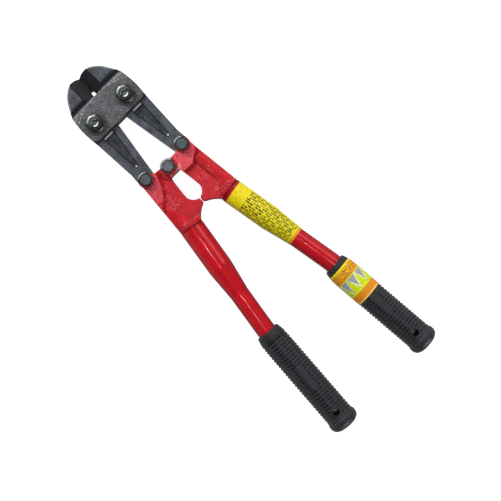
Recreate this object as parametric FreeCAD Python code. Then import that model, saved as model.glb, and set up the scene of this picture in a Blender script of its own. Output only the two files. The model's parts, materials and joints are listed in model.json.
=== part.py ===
"""Bolt cutters of the 450 mm class, lying flat with the jaws closed. Millimetres, +Z up.

The origin is where the centre pivot's axis meets the surface that the tool lies on. X runs along
the tool from the jaws to the handles, and the right handle lies toward +Y. The left half mirrors
the right one, except that the handle forging is turned over, so that the two centre lugs lap.
Every piece is drawn about the tool's middle plane and lifted by MID_HEIGHT when it is written.
"""
import FreeCAD, Part
import math
import os

Vector = FreeCAD.Vector

# Linkage, seen from above
PIVOT_ARM = 26.6          # centre pivot to a link pivot
PIVOT_ARM_LEAN = 13.9     # degrees that this arm leans toward the jaws
BLADE_LEVER = 76.5        # link pivot to blade pivot
BLADE_PIVOT_SPAN = 42.4   # between the two blade pivots

# Fits and running clearances
BOLT_FIT = 0.05           # radial play of a bolt in a bore that turns on it
SEAT_FIT = 0.02           # radial play of a piece that is pushed on another
FACE_PLAY = 0.1           # axial play between faces that turn on each other
EDGE_GAP = 0.1            # between the closed cutting edges
STOP_GAP = 0.2            # between the closed stop lugs
SWING_GAP = 0.5           # around a blade's tail inside the fork
OPEN_PIVOT_SLACK = 2.6    # extra radius of the right blade's pivot hole

# Blades
BLADE_T = 10.0
JAW_T = 15.0
JAW_REACH = 48.0          # blade pivot to the nose
EDGE_LINE = -1.0          # the closed cutting edges meet this far toward +Y of the middle
NOSE_HALF = 11.5          # half the width of the blunt nose
MOUTH_NOTCH = 1.8         # depth of the notch where the edges meet at the nose
MOUTH_NOTCH_HALF = 4.4    # half the width of that notch
JAW_HALF_WIDTH = 36.8     # middle of the tool to the jaw's widest point
NOSE_TURN_BACK = 10.0     # nose back to where its tight round ends
NOSE_TURN_HALF = 25.2
NOSE_TIGHT_BULGE = 1.2    # how far that round stands off its own chord
NOSE_BULGE = 0.4          # the same for the next one
NOSE_END_BACK = 27.3      # nose back to the end of the nose's round
NOSE_END_HALF = 35.1
CHEEK_BULGE = 0.4         # the same for the flatter round from there to the widest point
RELIEF_START = 27.4       # blade pivot forward to the rear end of the cutting edge
RELIEF_HALF = 1.8         # cutting line, and farther back the tool's middle, to the relieved side
BEVEL_WIDTH = 12.7        # cutting bevel, from the edge outward
EDGE_LAND = 0.5           # flat width left on the cutting edge
JAW_STEP_LENGTH = 3.2     # length of the slope from the jaw down to the blade's thickness
JAW_STEP_GAP = 2.7        # flat between that slope and the link plates, for the swing
JAW_CHAMFER = 1.6
TAIL_EYE_R = 9.1
TAIL_EYE_SHIFT = 0.8      # the eye's round is centred this much inside the link pivot
TAIL_HEEL_X = 15.2        # blade pivot back to where the tails part
TAIL_HEEL_HALF = 5.9
TAIL_WAIST_X = 62.0       # blade pivot back to the waist of the tail's outer side
TAIL_WAIST_HALF = 33.0
TAIL_SHOULDER_X = 18.5
TAIL_SHOULDER_HALF = 35.3
POCKET_DEPTH = 1.1
POCKET_START_X = 17.6
POCKET_END_X = 58.2
POCKET_RIM_INNER = 7.0    # rim between the pocket and the tail's inner side
POCKET_RIM_OUTER = 8.1    # rim between the pocket and the tail's outer side
RIB_WIDTH = 1.6           # rib across the pocket's wide end
RIB_SLOT = 1.4            # slot in front of that rib

# Link plates
PLATE_T = 4.5
PLATE_FRONT = 21.1        # blade pivot forward to the plate's front edge
PLATE_REAR = 14.1         # blade pivot back to the plate's rear edge
PLATE_HALF = 36.3         # half the plate's length across the tool
PLATE_CORNER_R = 7.0      # round of the rear corners
PLATE_FRONT_HALF = 34.7   # half the length of the plate's front edge
PLATE_SIDE_BULGE = 0.5    # how far the plate's short side stands off its chord
PLATE_BEVEL_R = 69.0      # the front bevel is turned to this radius
PLATE_BEVEL_WIDTH = 8.0
PLATE_BEVEL_DROP = 1.7
PLATE_CHAMFER = 0.5

# Blade bolts and lock nuts, M10
M10_R = 5.0
M10_FLATS = 17.0
M10_HEAD = 6.4
M10_NUT = 5.8
LOCK_COLLAR_R = 6.9       # round collar that holds the nylon ring
LOCK_COLLAR_H = 2.7
NYLON_H = 1.9
BOLT_END = 1.0            # how far an M10 bolt's end stands out of its nut; M8 ends are flush
BOLT_POINT = 0.8          # chamfer on that end
COLLAR_ROUND = 0.9        # chamfer on the collar's rim

# Link and pivot bolts, M8
M8_R = 4.0
M8_FLATS = 12.0
M8_HEAD = 5.3
M8_NUT = 6.8
LINK_WASHER_R = 8.4
PIVOT_WASHER_R = 9.0
WASHER_T = 1.6
PIVOT_CORNER_AT = 30      # degrees from +X to a corner of the centre pivot's head and nut
HEX_CHAMFER = 0.9         # height of the turned corner on a hexagon
HEX_FACE = 0.92           # round face of a hexagon, as a share of its flats

# Handle heads
HEAD_T = 18.4
EAR_R = 7.5
LUG_R = 7.9
LUG_REAR = 9.2            # centre pivot back to the lug's flat rear side
LUG_HALF = 6.3            # half the width of the lug's rear block
HEAD_FRONT = 5.5          # centre pivot forward to the flat front side
WEB_T = 9.0
WEB_RISE = 1.5            # the web is this much thicker on the fork side
SPOT_R = 14.5             # round place at the centre pivot that is left out of that rise
LUG_PAD_REAR = 14.2       # centre pivot back to the end of the lug side's raised pad
LUG_PAD_CORNER = 22.9     # centre pivot out to the pad's slanting corner
LUG_PAD_SLANT = 35.0      # degrees that this corner's edge turns from the pad's end
LUG_PAD_RUN = 5.3         # run of the slope from the pad's top down to the middle plane
EAR_PAD_X = -20.9         # centre of the round edge of the fork side's pad
EAR_PAD_Y = 72.3
EAR_PAD_R = 59.8
EAR_PAD_RUN = 9.0
HEAD_OUTER_X = 9.0        # where the outer side's straight line starts
HEAD_OUTER_HALF = 34.9
LUG_SIDE_RIDGE = [(12.0, 7.3), (46.0, 7.3), (51.5, 8.8)]    # X and radius of its sections
FORK_SIDE_RIDGE = [(22.0, 6.6), (44.0, 8.2), (51.5, 10.2)]
RIDGE_RUNOUT = 0.2        # the ridge meets the shank's collar this much below its surface
STOP_START = 43.6         # centre pivot back to the stop lug's flat
STOP_LENGTH = 7.6
STOP_ROUND = 2.2          # round on the stop lug's two corners
WINDOW_END = 34.6         # centre pivot back to the window's widest point
WINDOW_HALF = 9.4
WINDOW_BULGE = 0.3        # how far the window's rounds stand off their chords
STOP_FLANK_BULGE = 1.5
SHANK_FLANK_BULGE = 0.9
SHANK_EDGE = 0.6          # the lug's rear flank ends this much inside the shank's round
SHANK_COLLAR = 4.5        # length of the full round at the shank's end
SPIGOT_LENGTH = 32.0
SPIGOT_CHAMFER = 1.0
FORK_INNER = -80.0        # degrees at the link pivot to the sides of the fork's mouth
FORK_OUTER = 36.0
JOINT_CHAMFER = 0.5

# Handles: each follows one straight axis, then a second one after a small bend
HANDLE_SPLAY = 9.4        # degrees
HANDLE_AXIS_Y = 17.5      # where the axis crosses the centre pivot's X position
GRIP_SPLAY = 4.4          # degrees
SHANK_END = 60.9          # along the axis to the end of the forged shank
TUBE_R = 13.0
TUBE_END_R = 10.1
TUBE_WALL = 1.8
SWAGE_START = 110.5
SWAGE_END = 144.3
BEND_AT = 188.5
BEND_R = 60.0
TUBE_AFTER_BEND = 102.0

# Grips, along the second axis from the bend
GRIP_START = 3.4
GRIP_LIP_R = 12.0
GRIP_LIP_ROUND = 0.9
SHOULDER_AT = 9.7
SHOULDER_R = 14.1
SWELL_AT = 14.5
SWELL_R = 14.7
GRIP_FULL = 20.5          # where the grip reaches its full radius
GRIP_R = 15.0
FLANGE_START = 118.2
FLANGE_STEP = 1.0
FLANGE_R = 16.0
FLANGE_END = 123.6
GRIP_END = 130.1
END_ROUND_BULGE = 1.6     # how far the end's round stands off its chord
CAP_R = 10.5              # radius where the end's round meets its nearly flat cap
CAP_HEIGHT = 0.6
HANG_HOLE_AT = 109.7
HANG_HOLE_R = 3.3

# Labels
LABEL_T = 0.12
LABEL_SEAM = 2.0          # gap between the label's ends, on the underside
TUBE_LABEL_START = 64.6
TUBE_LABEL_END = 143.6
GRIP_LABEL_END = 51.2

# Places that follow from the sizes above
MID_HEIGHT = HEAD_T / 2 + M8_NUT
LEAN = math.radians(PIVOT_ARM_LEAN)
LINK = Vector(-PIVOT_ARM * math.sin(LEAN), PIVOT_ARM * math.cos(LEAN), 0)
BLADE_PIVOT_Y = BLADE_PIVOT_SPAN / 2
BLADE = Vector(LINK.x - math.sqrt(BLADE_LEVER ** 2 - (LINK.y - BLADE_PIVOT_Y) ** 2), BLADE_PIVOT_Y, 0)
ORIGIN = Vector(0, 0, 0)
UP = Vector(0, 0, 1)
ACROSS = Vector(0, 1, 0)
ALONG = Vector(1, 0, 0)
REACH = 200.0             # larger than any piece, for cutting blocks


# Drawing helpers

def outline(start, *steps):
    """Closed flat face: each step is a point for a line, or (middle, end) for an arc."""
    edges = []
    here = start
    for step in steps:
        if isinstance(step, tuple):
            edges.append(Part.Arc(here, step[0], step[1]).toShape())
            here = step[1]
        else:
            edges.append(Part.LineSegment(here, step).toShape())
            here = step
    if (here - start).Length > 0.001:
        edges.append(Part.LineSegment(here, start).toShape())
    return Part.Face(Part.Wire(edges))


def bowed(start, end, bulge):
    """Step for outline(): an arc to end that stands off its chord, to the left if positive."""
    chord = end - start
    normal = Vector(-chord.y, chord.x, 0).normalize()
    return (start + end) * 0.5 + normal * bulge, end


def slab(face, low, high):
    """A face in the XY plane, extruded from one height to another."""
    lifted = face.copy()
    lifted.translate(UP * low)
    return lifted.extrude(UP * (high - low))


def turned(profile, centre=ORIGIN):
    """Solid of revolution about Z from (radius, height) pairs."""
    points = [Vector(radius, 0, height) for radius, height in profile]
    wire = Part.makePolygon(points + points[:1])
    solid = Part.Face(wire).revolve(ORIGIN, UP, 360)
    solid.translate(centre)
    return solid


def turned_along(profile):
    """Solid of revolution about X from (distance along, radius) pairs."""
    points = [Vector(distance, radius, 0) for distance, radius in profile]
    wire = Part.makePolygon(points + points[:1])
    return Part.Face(wire).revolve(ORIGIN, ALONG, 360)


def rod(radius, low, high, centre=ORIGIN):
    """Upright cylinder between two heights."""
    return Part.makeCylinder(radius, high - low, centre + UP * low, UP)


def polar(centre, radius, degrees):
    angle = math.radians(degrees)
    return centre + Vector(radius * math.cos(angle), radius * math.sin(angle), 0)


def direction(vector):
    return math.degrees(math.atan2(vector.y, vector.x))


def tangent_point(outside, centre, radius, side):
    """Where a line from an outside point touches a circle; side is +1 or -1."""
    offset = outside - centre
    swing = math.degrees(math.acos(radius / offset.Length))
    return polar(centre, radius, direction(offset) + side * swing)


def mirrored(shape):
    return shape.mirror(ORIGIN, ACROSS)


def turned_over(shape):
    flipped = shape.copy()
    flipped.rotate(ORIGIN, ALONG, 180)
    return flipped


def cleaned(shape):
    """One solid with its split faces joined."""
    return shape.removeSplitter().Solids[0]


def edges_where(shape, test):
    return [edge for edge in shape.Edges if test(edge)]


# Blades

def nose_points():
    """Corner of the blunt nose, ends of the nose's two rounds, and the jaw's widest point."""
    corner = Vector(BLADE.x - JAW_REACH, NOSE_HALF, 0)
    nose_turn = Vector(corner.x + NOSE_TURN_BACK, NOSE_TURN_HALF, 0)
    nose_end = Vector(corner.x + NOSE_END_BACK, NOSE_END_HALF, 0)
    widest = Vector(BLADE.x, JAW_HALF_WIDTH, 0)
    return corner, nose_turn, nose_end, widest


def tail_lines():
    """Points of the right tail: heel, inner touch, eye tip, outer touch, waist, shoulder."""
    heel = Vector(BLADE.x + TAIL_HEEL_X, TAIL_HEEL_HALF, 0)
    waist = Vector(BLADE.x + TAIL_WAIST_X, TAIL_WAIST_HALF, 0)
    shoulder = Vector(BLADE.x + TAIL_SHOULDER_X, TAIL_SHOULDER_HALF, 0)
    eye = LINK - ACROSS * TAIL_EYE_SHIFT
    inner = tangent_point(heel, eye, TAIL_EYE_R, 1)
    outer = tangent_point(waist, eye, TAIL_EYE_R, -1)
    tip = polar(eye, TAIL_EYE_R, 0)
    return heel, inner, tip, outer, waist, shoulder


def blade_outline(edge):
    """Right blade from above, anticlockwise from the front end of its cutting edge, given its Y."""
    corner, nose_turn, nose_end, widest = nose_points()
    heel, inner, tip, outer, waist, shoulder = tail_lines()
    edge_front = Vector(corner.x + MOUTH_NOTCH, edge, 0)
    edge_rear = Vector(BLADE.x - RELIEF_START, edge, 0)
    relief = edge_rear + Vector(RELIEF_HALF, RELIEF_HALF, 0)
    relief_mid = polar(Vector(relief.x, edge, 0), RELIEF_HALF, 135)
    heel_start = Vector(BLADE.x + M10_R / 2, RELIEF_HALF, 0)
    notch_side = Vector(corner.x, edge + MOUTH_NOTCH_HALF, 0)
    return outline(
        edge_front, edge_rear, (relief_mid, relief), heel_start, heel, inner,
        (tip, outer), waist, shoulder, widest, bowed(widest, nose_end, -CHEEK_BULGE),
        bowed(nose_end, nose_turn, -NOSE_BULGE), bowed(nose_turn, corner, -NOSE_TIGHT_BULGE),
        notch_side)


def rim_chamfer(blank):
    """The blank with its outer edges broken along the nose's rounds."""
    def on_rim(edge):
        middle = edge.valueAt((edge.FirstParameter + edge.LastParameter) / 2)
        level = abs(abs(middle.z) - JAW_T / 2) < 0.01
        forward = middle.x < BLADE.x and middle.y > NOSE_HALF
        return level and forward and edge.Curve.TypeId == "Part::GeomCircle"
    return blank.makeChamfer(JAW_CHAMFER, edges_where(blank, on_rim))


def jaw_block(face):
    """The thicker front of the blade, with the slope down to the plates on both sides."""
    thick = rim_chamfer(slab(face, -JAW_T / 2, JAW_T / 2))
    slope_end = BLADE.x - PLATE_FRONT - JAW_STEP_GAP
    slope_start = slope_end - JAW_STEP_LENGTH
    front = slope_end - REACH
    half = JAW_T / 2
    low = BLADE_T / 2
    side = [
        Vector(front, -REACH, half), Vector(slope_start, -REACH, half), Vector(slope_end, -REACH, low),
        Vector(slope_end, -REACH, -low), Vector(slope_start, -REACH, -half), Vector(front, -REACH, -half)]
    keep = Part.Face(Part.makePolygon(side + side[:1])).extrude(ACROSS * (2 * REACH))
    return thick.common(keep)


def bevel_cut(foot, side):
    """Wedge that grinds the bevel beside a cutting edge on one face; side is +1 for the upper face."""
    rise = JAW_T / 2 * side
    land = EDGE_LAND / 2 * side
    front = BLADE.x - JAW_REACH - 1
    profile = [
        Vector(front, foot - 1, land), Vector(front, foot, land), Vector(front, foot + BEVEL_WIDTH, rise),
        Vector(front, foot + BEVEL_WIDTH, rise * 1.2), Vector(front, foot - 1, rise * 1.2)]
    length = JAW_REACH - PLATE_FRONT
    return Part.Face(Part.makePolygon(profile + profile[:1])).extrude(ALONG * length)


def pocket_face():
    """Tapered pocket in the tail's face, inside the tail's own two sides."""
    heel, inner, tip, outer, waist, shoulder = tail_lines()
    start = BLADE.x + POCKET_START_X
    end = BLADE.x + POCKET_END_X

    def inner_at(x):
        return heel.y + (inner.y - heel.y) * (x - heel.x) / (inner.x - heel.x) + POCKET_RIM_INNER

    def outer_at(x):
        return shoulder.y + (waist.y - shoulder.y) * (x - shoulder.x) / (waist.x - shoulder.x) - POCKET_RIM_OUTER

    end_mid = Vector(end + (outer_at(end) - inner_at(end)) / 2, (outer_at(end) + inner_at(end)) / 2, 0)
    return outline(
        Vector(start, inner_at(start), 0), Vector(end, inner_at(end), 0),
        (end_mid, Vector(end, outer_at(end), 0)), Vector(start, outer_at(start), 0))


def rib_slot_face():
    """Slot across the tail just ahead of the rib at the pocket's wide end."""
    pocket = pocket_face().BoundBox
    rear = pocket.XMin - RIB_WIDTH
    front = rear - RIB_SLOT
    return outline(
        Vector(front, pocket.YMin, 0), Vector(rear, pocket.YMin, 0),
        Vector(rear, pocket.YMax, 0), Vector(front, pocket.YMax, 0))


def right_blade(line, pivot_slack):
    """Whole blade from the closed cutting line's Y; the slack widens the hole for its bolt."""
    edge = line + EDGE_GAP / 2
    face = blade_outline(edge)
    body = slab(face, -BLADE_T / 2, BLADE_T / 2)
    blade = body.fuse(jaw_block(face))
    blade = blade.cut(bevel_cut(edge, 1)).cut(bevel_cut(edge, -1))
    floor = BLADE_T / 2 - POCKET_DEPTH
    for hollow in (pocket_face(), rib_slot_face()):
        blade = blade.cut(slab(hollow, floor, BLADE_T / 2))
        blade = blade.cut(slab(hollow, -BLADE_T / 2, -floor))
    blade = blade.cut(rod(M10_R + BOLT_FIT + pivot_slack, -JAW_T, JAW_T, BLADE))
    blade = blade.cut(rod(M8_R + BOLT_FIT, -JAW_T, JAW_T, LINK))
    return cleaned(blade)


# Link plates

def plate_half_outline():
    """Right half of a link plate, from the middle of its front edge."""
    front = BLADE.x - PLATE_FRONT
    rear = BLADE.x + PLATE_REAR
    centre = Vector(rear - PLATE_CORNER_R, PLATE_HALF - PLATE_CORNER_R, 0)
    shoulder = Vector(front, PLATE_FRONT_HALF, 0)
    crown = polar(centre, PLATE_CORNER_R, 90)
    return outline(
        Vector(front, 0, 0), Vector(rear, 0, 0), polar(centre, PLATE_CORNER_R, 0),
        (polar(centre, PLATE_CORNER_R, 45), crown), bowed(crown, shoulder, -PLATE_SIDE_BULGE))


def upper_plate():
    low = BLADE_T / 2 + FACE_PLAY
    high = low + PLATE_T
    half = slab(plate_half_outline(), low, high)
    plate = half.fuse(mirrored(half)).removeSplitter()
    centre = Vector(BLADE.x - PLATE_FRONT + PLATE_BEVEL_R, 0, 0)
    bevel_low = high - PLATE_BEVEL_DROP
    wide = PLATE_BEVEL_R + PLATE_BEVEL_WIDTH
    cone = turned([(0, low - 1), (wide, low - 1), (wide, bevel_low), (PLATE_BEVEL_R, high), (0, high)], centre)
    plate = plate.common(cone)
    rear = BLADE.x + PLATE_REAR

    def long_edge(edge):
        middle = edge.valueAt((edge.FirstParameter + edge.LastParameter) / 2)
        return abs(middle.z - high) < 0.01 and abs(middle.x - rear) < 0.01

    plate = plate.makeChamfer(PLATE_CHAMFER, edges_where(plate, long_edge))
    for centre in (BLADE, mirrored_point(BLADE)):
        plate = plate.cut(rod(M10_R + SEAT_FIT, low - 1, high + 1, centre))
    return cleaned(plate)


def mirrored_point(point):
    return Vector(point.x, -point.y, point.z)


# Bolts, nuts and washers

def hexagon(flats, low, high, centre, chamfer_low=True, chamfer_high=True, corner_at=0):
    """Hexagonal prism whose corners are turned off at one or both ends."""
    corner_r = flats / math.sqrt(3)
    corners = [polar(centre, corner_r, corner_at + 60 * step) for step in range(6)]
    prism = slab(outline(corners[0], *corners[1:]), low, high)
    face_r = flats / 2 * HEX_FACE
    outside = corner_r + 1
    slope = (outside - face_r) * HEX_CHAMFER / (corner_r - face_r)
    profile = [(0, low)]
    profile += [(face_r, low), (outside, low + slope)] if chamfer_low else [(outside, low)]
    profile += [(outside, high - slope), (face_r, high)] if chamfer_high else [(outside, high)]
    profile += [(0, high)]
    return prism.common(turned(profile, centre))


def shank(radius, low, high, centre):
    """Bolt shank with a pointed-off end at the given far height."""
    tip = BOLT_POINT if high > low else -BOLT_POINT
    profile = [(0, low), (radius, low), (radius, high - tip), (radius - BOLT_POINT, high), (0, high)]
    return turned(profile, centre)


def blade_bolt(centre):
    """M10 bolt whose head lies under the lower plate."""
    seat = -(BLADE_T / 2 + FACE_PLAY + PLATE_T)
    end = -seat + M10_NUT + LOCK_COLLAR_H + BOLT_END
    head = hexagon(M10_FLATS, seat - M10_HEAD, seat, centre, chamfer_high=False)
    return cleaned(head.fuse(shank(M10_R, seat, end, centre)))


def lock_nut(centre):
    """M10 nut with the round collar that holds its nylon ring."""
    seat = BLADE_T / 2 + FACE_PLAY + PLATE_T
    top = seat + M10_NUT
    crown = top + LOCK_COLLAR_H
    body = hexagon(M10_FLATS, seat, top, centre)
    collar = turned([
        (0, top - 1), (LOCK_COLLAR_R, top - 1), (LOCK_COLLAR_R, crown - COLLAR_ROUND),
        (LOCK_COLLAR_R - COLLAR_ROUND, crown), (0, crown)], centre)
    nut = body.fuse(collar)
    nut = nut.cut(rod(nylon_radius(), crown - NYLON_H, crown + 1, centre))
    return cleaned(nut.cut(rod(M10_R + SEAT_FIT, seat - 1, crown + 1, centre)))


def nylon_radius():
    return (M10_R + LOCK_COLLAR_R) / 2


def nylon_ring(centre):
    crown = BLADE_T / 2 + FACE_PLAY + PLATE_T + M10_NUT + LOCK_COLLAR_H
    ring = rod(nylon_radius() - SEAT_FIT, crown - NYLON_H, crown, centre)
    return ring.cut(rod(M10_R + SEAT_FIT, crown - NYLON_H - 1, crown + 1, centre))


def head_bolt(centre, corner_at=0):
    """M8 bolt through a handle head, its head above a washer and its end flush with its nut."""
    seat = HEAD_T / 2 + WASHER_T
    end = -HEAD_T / 2 - M8_NUT
    head = hexagon(M8_FLATS, seat, seat + M8_HEAD, centre, chamfer_low=False, corner_at=corner_at)
    return cleaned(head.fuse(shank(M8_R, seat, end, centre)))


def head_nut(centre, corner_at=0):
    seat = -HEAD_T / 2
    nut = hexagon(M8_FLATS, seat - M8_NUT, seat, centre, corner_at=corner_at)
    return cleaned(nut.cut(rod(M8_R + SEAT_FIT, seat - M8_NUT - 1, seat + 1, centre)))


def washer(radius, centre):
    seat = HEAD_T / 2
    disc = rod(radius, seat, seat + WASHER_T, centre)
    return disc.cut(rod(M8_R + SEAT_FIT, seat - 1, seat + WASHER_T + 1, centre))


# Handle axis

def on_axis(distance, aside=0.0):
    """Point on a right handle's first axis, or aside from it toward +Y."""
    angle = math.radians(HANDLE_SPLAY)
    x = distance * math.cos(angle) - aside * math.sin(angle)
    y = distance * math.sin(angle) + aside * math.cos(angle)
    return Vector(x, HANDLE_AXIS_Y + y, 0)


def onto_axis(shape):
    """A shape drawn along X, laid on the first axis."""
    placed = shape.copy()
    placed.rotate(ORIGIN, UP, HANDLE_SPLAY)
    placed.translate(ACROSS * HANDLE_AXIS_Y)
    return placed


def onto_grip_axis(shape):
    """A shape drawn along X, laid on the grip's axis from the bend."""
    placed = shape.copy()
    placed.rotate(ORIGIN, UP, GRIP_SPLAY)
    placed.translate(on_axis(BEND_AT))
    return placed


def bend_tangent():
    return BEND_R * math.tan(math.radians(HANDLE_SPLAY - GRIP_SPLAY) / 2)


# Handle heads

def window_steps():
    """Inner side of the right head, from the lug's rear corner to the shank, as outline steps."""
    block_corner = Vector(LUG_REAR, LUG_HALF, 0)
    widest = Vector(WINDOW_END, WINDOW_HALF, 0)
    nose_front = Vector(STOP_START + STOP_ROUND, STOP_GAP / 2, 0)
    nose_rear = Vector(STOP_START + STOP_LENGTH - STOP_ROUND, STOP_GAP / 2, 0)
    flank_end = nose_front + Vector(-STOP_ROUND, STOP_ROUND, 0)
    flank_turn = polar(nose_front + ACROSS * STOP_ROUND, STOP_ROUND, 225)
    back_start = nose_rear + Vector(STOP_ROUND, STOP_ROUND, 0)
    back_turn = polar(nose_rear + ACROSS * STOP_ROUND, STOP_ROUND, -45)
    shank_inner = on_axis(SHANK_END - SHANK_COLLAR / 4, SHANK_EDGE - TUBE_R)
    return [
        block_corner, bowed(block_corner, widest, WINDOW_BULGE),
        bowed(widest, flank_end, STOP_FLANK_BULGE), (flank_turn, nose_front), nose_rear,
        (back_turn, back_start), bowed(back_start, shank_inner, SHANK_FLANK_BULGE)]


def head_outline():
    """Right head from above at full depth, with the lug's rear block but not its round."""
    front_low = Vector(-HEAD_FRONT, LUG_HALF - 1, 0)
    root = polar(LINK, EAR_R, -118)
    front_high = Vector(-HEAD_FRONT, root.y - EAR_R / 2, 0)
    nose = polar(LINK, EAR_R, 180)
    ear_top = polar(LINK, EAR_R, 95)
    outer = Vector(HEAD_OUTER_X, HEAD_OUTER_HALF, 0)
    shank_outer = on_axis(SHANK_END - SHANK_COLLAR, TUBE_R)
    return outline(
        Vector(0, LUG_HALF - 1, 0), *window_steps(), shank_outer, outer, ear_top, (nose, root),
        front_high, front_low)


def lug_faces():
    """Round of the centre lug, and its square rear block, which runs into the web."""
    disc = Part.Face(Part.Wire(Part.makeCircle(LUG_R)))
    block = outline(
        Vector(0, -LUG_HALF, 0), Vector(LUG_REAR, -LUG_HALF, 0),
        Vector(LUG_REAR, LUG_R, 0), Vector(0, LUG_R, 0))
    return disc, block


def sloped_end(distance, degrees):
    """Everything above the middle plane within a distance toward one direction; the end slopes."""
    top = HEAD_T / 2
    side = [
        Vector(-REACH, -REACH, 0), Vector(-REACH, -REACH, top), Vector(distance, -REACH, top),
        Vector(distance + LUG_PAD_RUN, -REACH, 0)]
    block = Part.Face(Part.makePolygon(side + side[:1])).extrude(ACROSS * (2 * REACH))
    block.rotate(ORIGIN, UP, degrees)
    return block


def lug_pad():
    """Region of the raised pad on the lug side: a straight end with one slanting corner."""
    return sloped_end(LUG_PAD_REAR, 0).common(sloped_end(LUG_PAD_CORNER, LUG_PAD_SLANT))


def ear_pad():
    """Region of the fork side's pad round the ear, with a long round slope toward the web."""
    foot = EAR_PAD_R + EAR_PAD_RUN
    bottom = -HEAD_T / 2
    centre = Vector(EAR_PAD_X, EAR_PAD_Y, 0)
    return turned([(0, bottom), (EAR_PAD_R, bottom), (foot, 0), (0, 0)], centre)


def web(face):
    """Thin part of the forging, thicker on the fork side except round the centre pivot."""
    plain = slab(face, -WEB_T / 2, WEB_T / 2)
    rise = slab(face, -WEB_T / 2 - WEB_RISE, 0)
    return plain.fuse(rise.cut(rod(SPOT_R, -HEAD_T, 0)))


def ring_at(x, radius, outer_half):
    """Upright circle across the tool whose outer side reaches a given half width."""
    centre = Vector(x, outer_half - radius, 0)
    return Part.Wire(Part.makeCircle(radius, centre, ALONG))


def outer_half_at(x):
    """Half width of the head's straight outer side at a given X."""
    end = on_axis(SHANK_END, TUBE_R)
    return HEAD_OUTER_HALF + (end.y - HEAD_OUTER_HALF) * (x - HEAD_OUTER_X) / (end.x - HEAD_OUTER_X)


def shank_ring(distance, radius):
    """Circle square to the handle's axis."""
    angle = math.radians(HANDLE_SPLAY)
    normal = Vector(math.cos(angle), math.sin(angle), 0)
    return Part.Wire(Part.makeCircle(radius, on_axis(distance), normal))


def ridge(sections, low):
    """Outer ridge that swells into the round shank, kept on one side of the middle plane."""
    rings = [ring_at(x, radius, outer_half_at(x)) for x, radius in sections]
    rings.append(shank_ring(SHANK_END - SHANK_COLLAR, TUBE_R - RIDGE_RUNOUT))
    body = Part.makeLoft(rings, True, True)
    return body.common(Part.makeBox(2 * REACH, 2 * REACH, REACH, Vector(-REACH, -REACH, low)))


def shank_end():
    """Round end of the forging, its chamfered shoulder, and the spigot inside the tube."""
    start = SHANK_END - SHANK_COLLAR
    spigot_r = TUBE_R - TUBE_WALL - SEAT_FIT
    end = SHANK_END + SPIGOT_LENGTH
    profile = [
        (start, 0), (start, TUBE_R), (SHANK_END - JOINT_CHAMFER, TUBE_R), (SHANK_END, TUBE_R - JOINT_CHAMFER),
        (SHANK_END, spigot_r), (end - SPIGOT_CHAMFER, spigot_r), (end, spigot_r - SPIGOT_CHAMFER), (end, 0)]
    return onto_axis(turned_along(profile))


def fork_cut():
    """Slot between the ears, wide enough for the tail's whole swing."""
    half = BLADE_T / 2 + FACE_PLAY
    radius = TAIL_EYE_R + TAIL_EYE_SHIFT + SWING_GAP
    inner_side = polar(LINK, radius, FORK_INNER)
    outer_side = polar(LINK, radius, FORK_OUTER)
    far_in = polar(inner_side, EAR_R * 3, FORK_INNER - 90)
    far_out = polar(outer_side, EAR_R * 3, FORK_OUTER + 90)
    wedge = outline(LINK, inner_side, far_in, Vector(far_in.x, far_out.y, 0), far_out, outer_side)
    return slab(wedge, -half, half).fuse(rod(radius, -half, half, LINK))


def lap_cut():
    """Space below the right head's lug for the other head's lug."""
    top = FACE_PLAY / 2
    space = rod(LUG_R + SWING_GAP, -HEAD_T, top)
    box = Part.makeBox(
        LUG_REAR + SWING_GAP, LUG_HALF * 2 + 2 * SWING_GAP, HEAD_T + top,
        Vector(0, -LUG_HALF - SWING_GAP, -HEAD_T))
    return space.fuse(box)


def right_head():
    """The forging: web, raised pads, ridge and shank, then the fork, the lap and the bores."""
    face = head_outline()
    half = HEAD_T / 2
    full = slab(face, -half, half)
    head = web(face)
    head = head.fuse(full.common(lug_pad())).fuse(full.common(ear_pad()))
    head = head.fuse(ridge(LUG_SIDE_RIDGE, 0)).fuse(ridge(FORK_SIDE_RIDGE, -REACH)).fuse(shank_end())
    head = head.cut(lap_cut())
    for piece in lug_faces():
        head = head.fuse(slab(piece, FACE_PLAY / 2, half))
    head = head.cut(fork_cut())
    for centre in (ORIGIN, LINK):
        head = head.cut(rod(M8_R + BOLT_FIT, -HEAD_T, HEAD_T, centre))
    return cleaned(head)


# Tubes, grips and labels

def tube_core(offset, start, end_after_bend):
    """Solid that follows the handle's outside, offset outward by a given amount."""
    tangent = bend_tangent()
    wide = TUBE_R + offset
    slim = TUBE_END_R + offset
    straight = [
        (start, 0), (start, wide), (SWAGE_START, wide), (SWAGE_END, slim),
        (BEND_AT - tangent, slim), (BEND_AT - tangent, 0)]
    core = onto_axis(turned_along(straight))
    ring = shank_ring(BEND_AT - tangent, slim)
    pivot = on_axis(BEND_AT - tangent, -BEND_R)
    elbow = Part.Face(ring).revolve(pivot, UP, GRIP_SPLAY - HANDLE_SPLAY)
    rest = onto_grip_axis(turned_along([(tangent, 0), (tangent, slim), (end_after_bend, slim), (end_after_bend, 0)]))
    return core.fuse(elbow).fuse(rest)


def right_tube():
    outside = tube_core(0, SHANK_END, TUBE_AFTER_BEND)
    inside = tube_core(-TUBE_WALL, SHANK_END - 1, TUBE_AFTER_BEND + 1)
    tube = outside.cut(inside)
    bevel = onto_axis(turned_along([
        (SHANK_END - 1, TUBE_R - JOINT_CHAMFER - 1), (SHANK_END - 1, TUBE_R + 1),
        (SHANK_END + JOINT_CHAMFER + 1, TUBE_R + 1)]))
    return cleaned(tube.cut(bevel))


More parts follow.
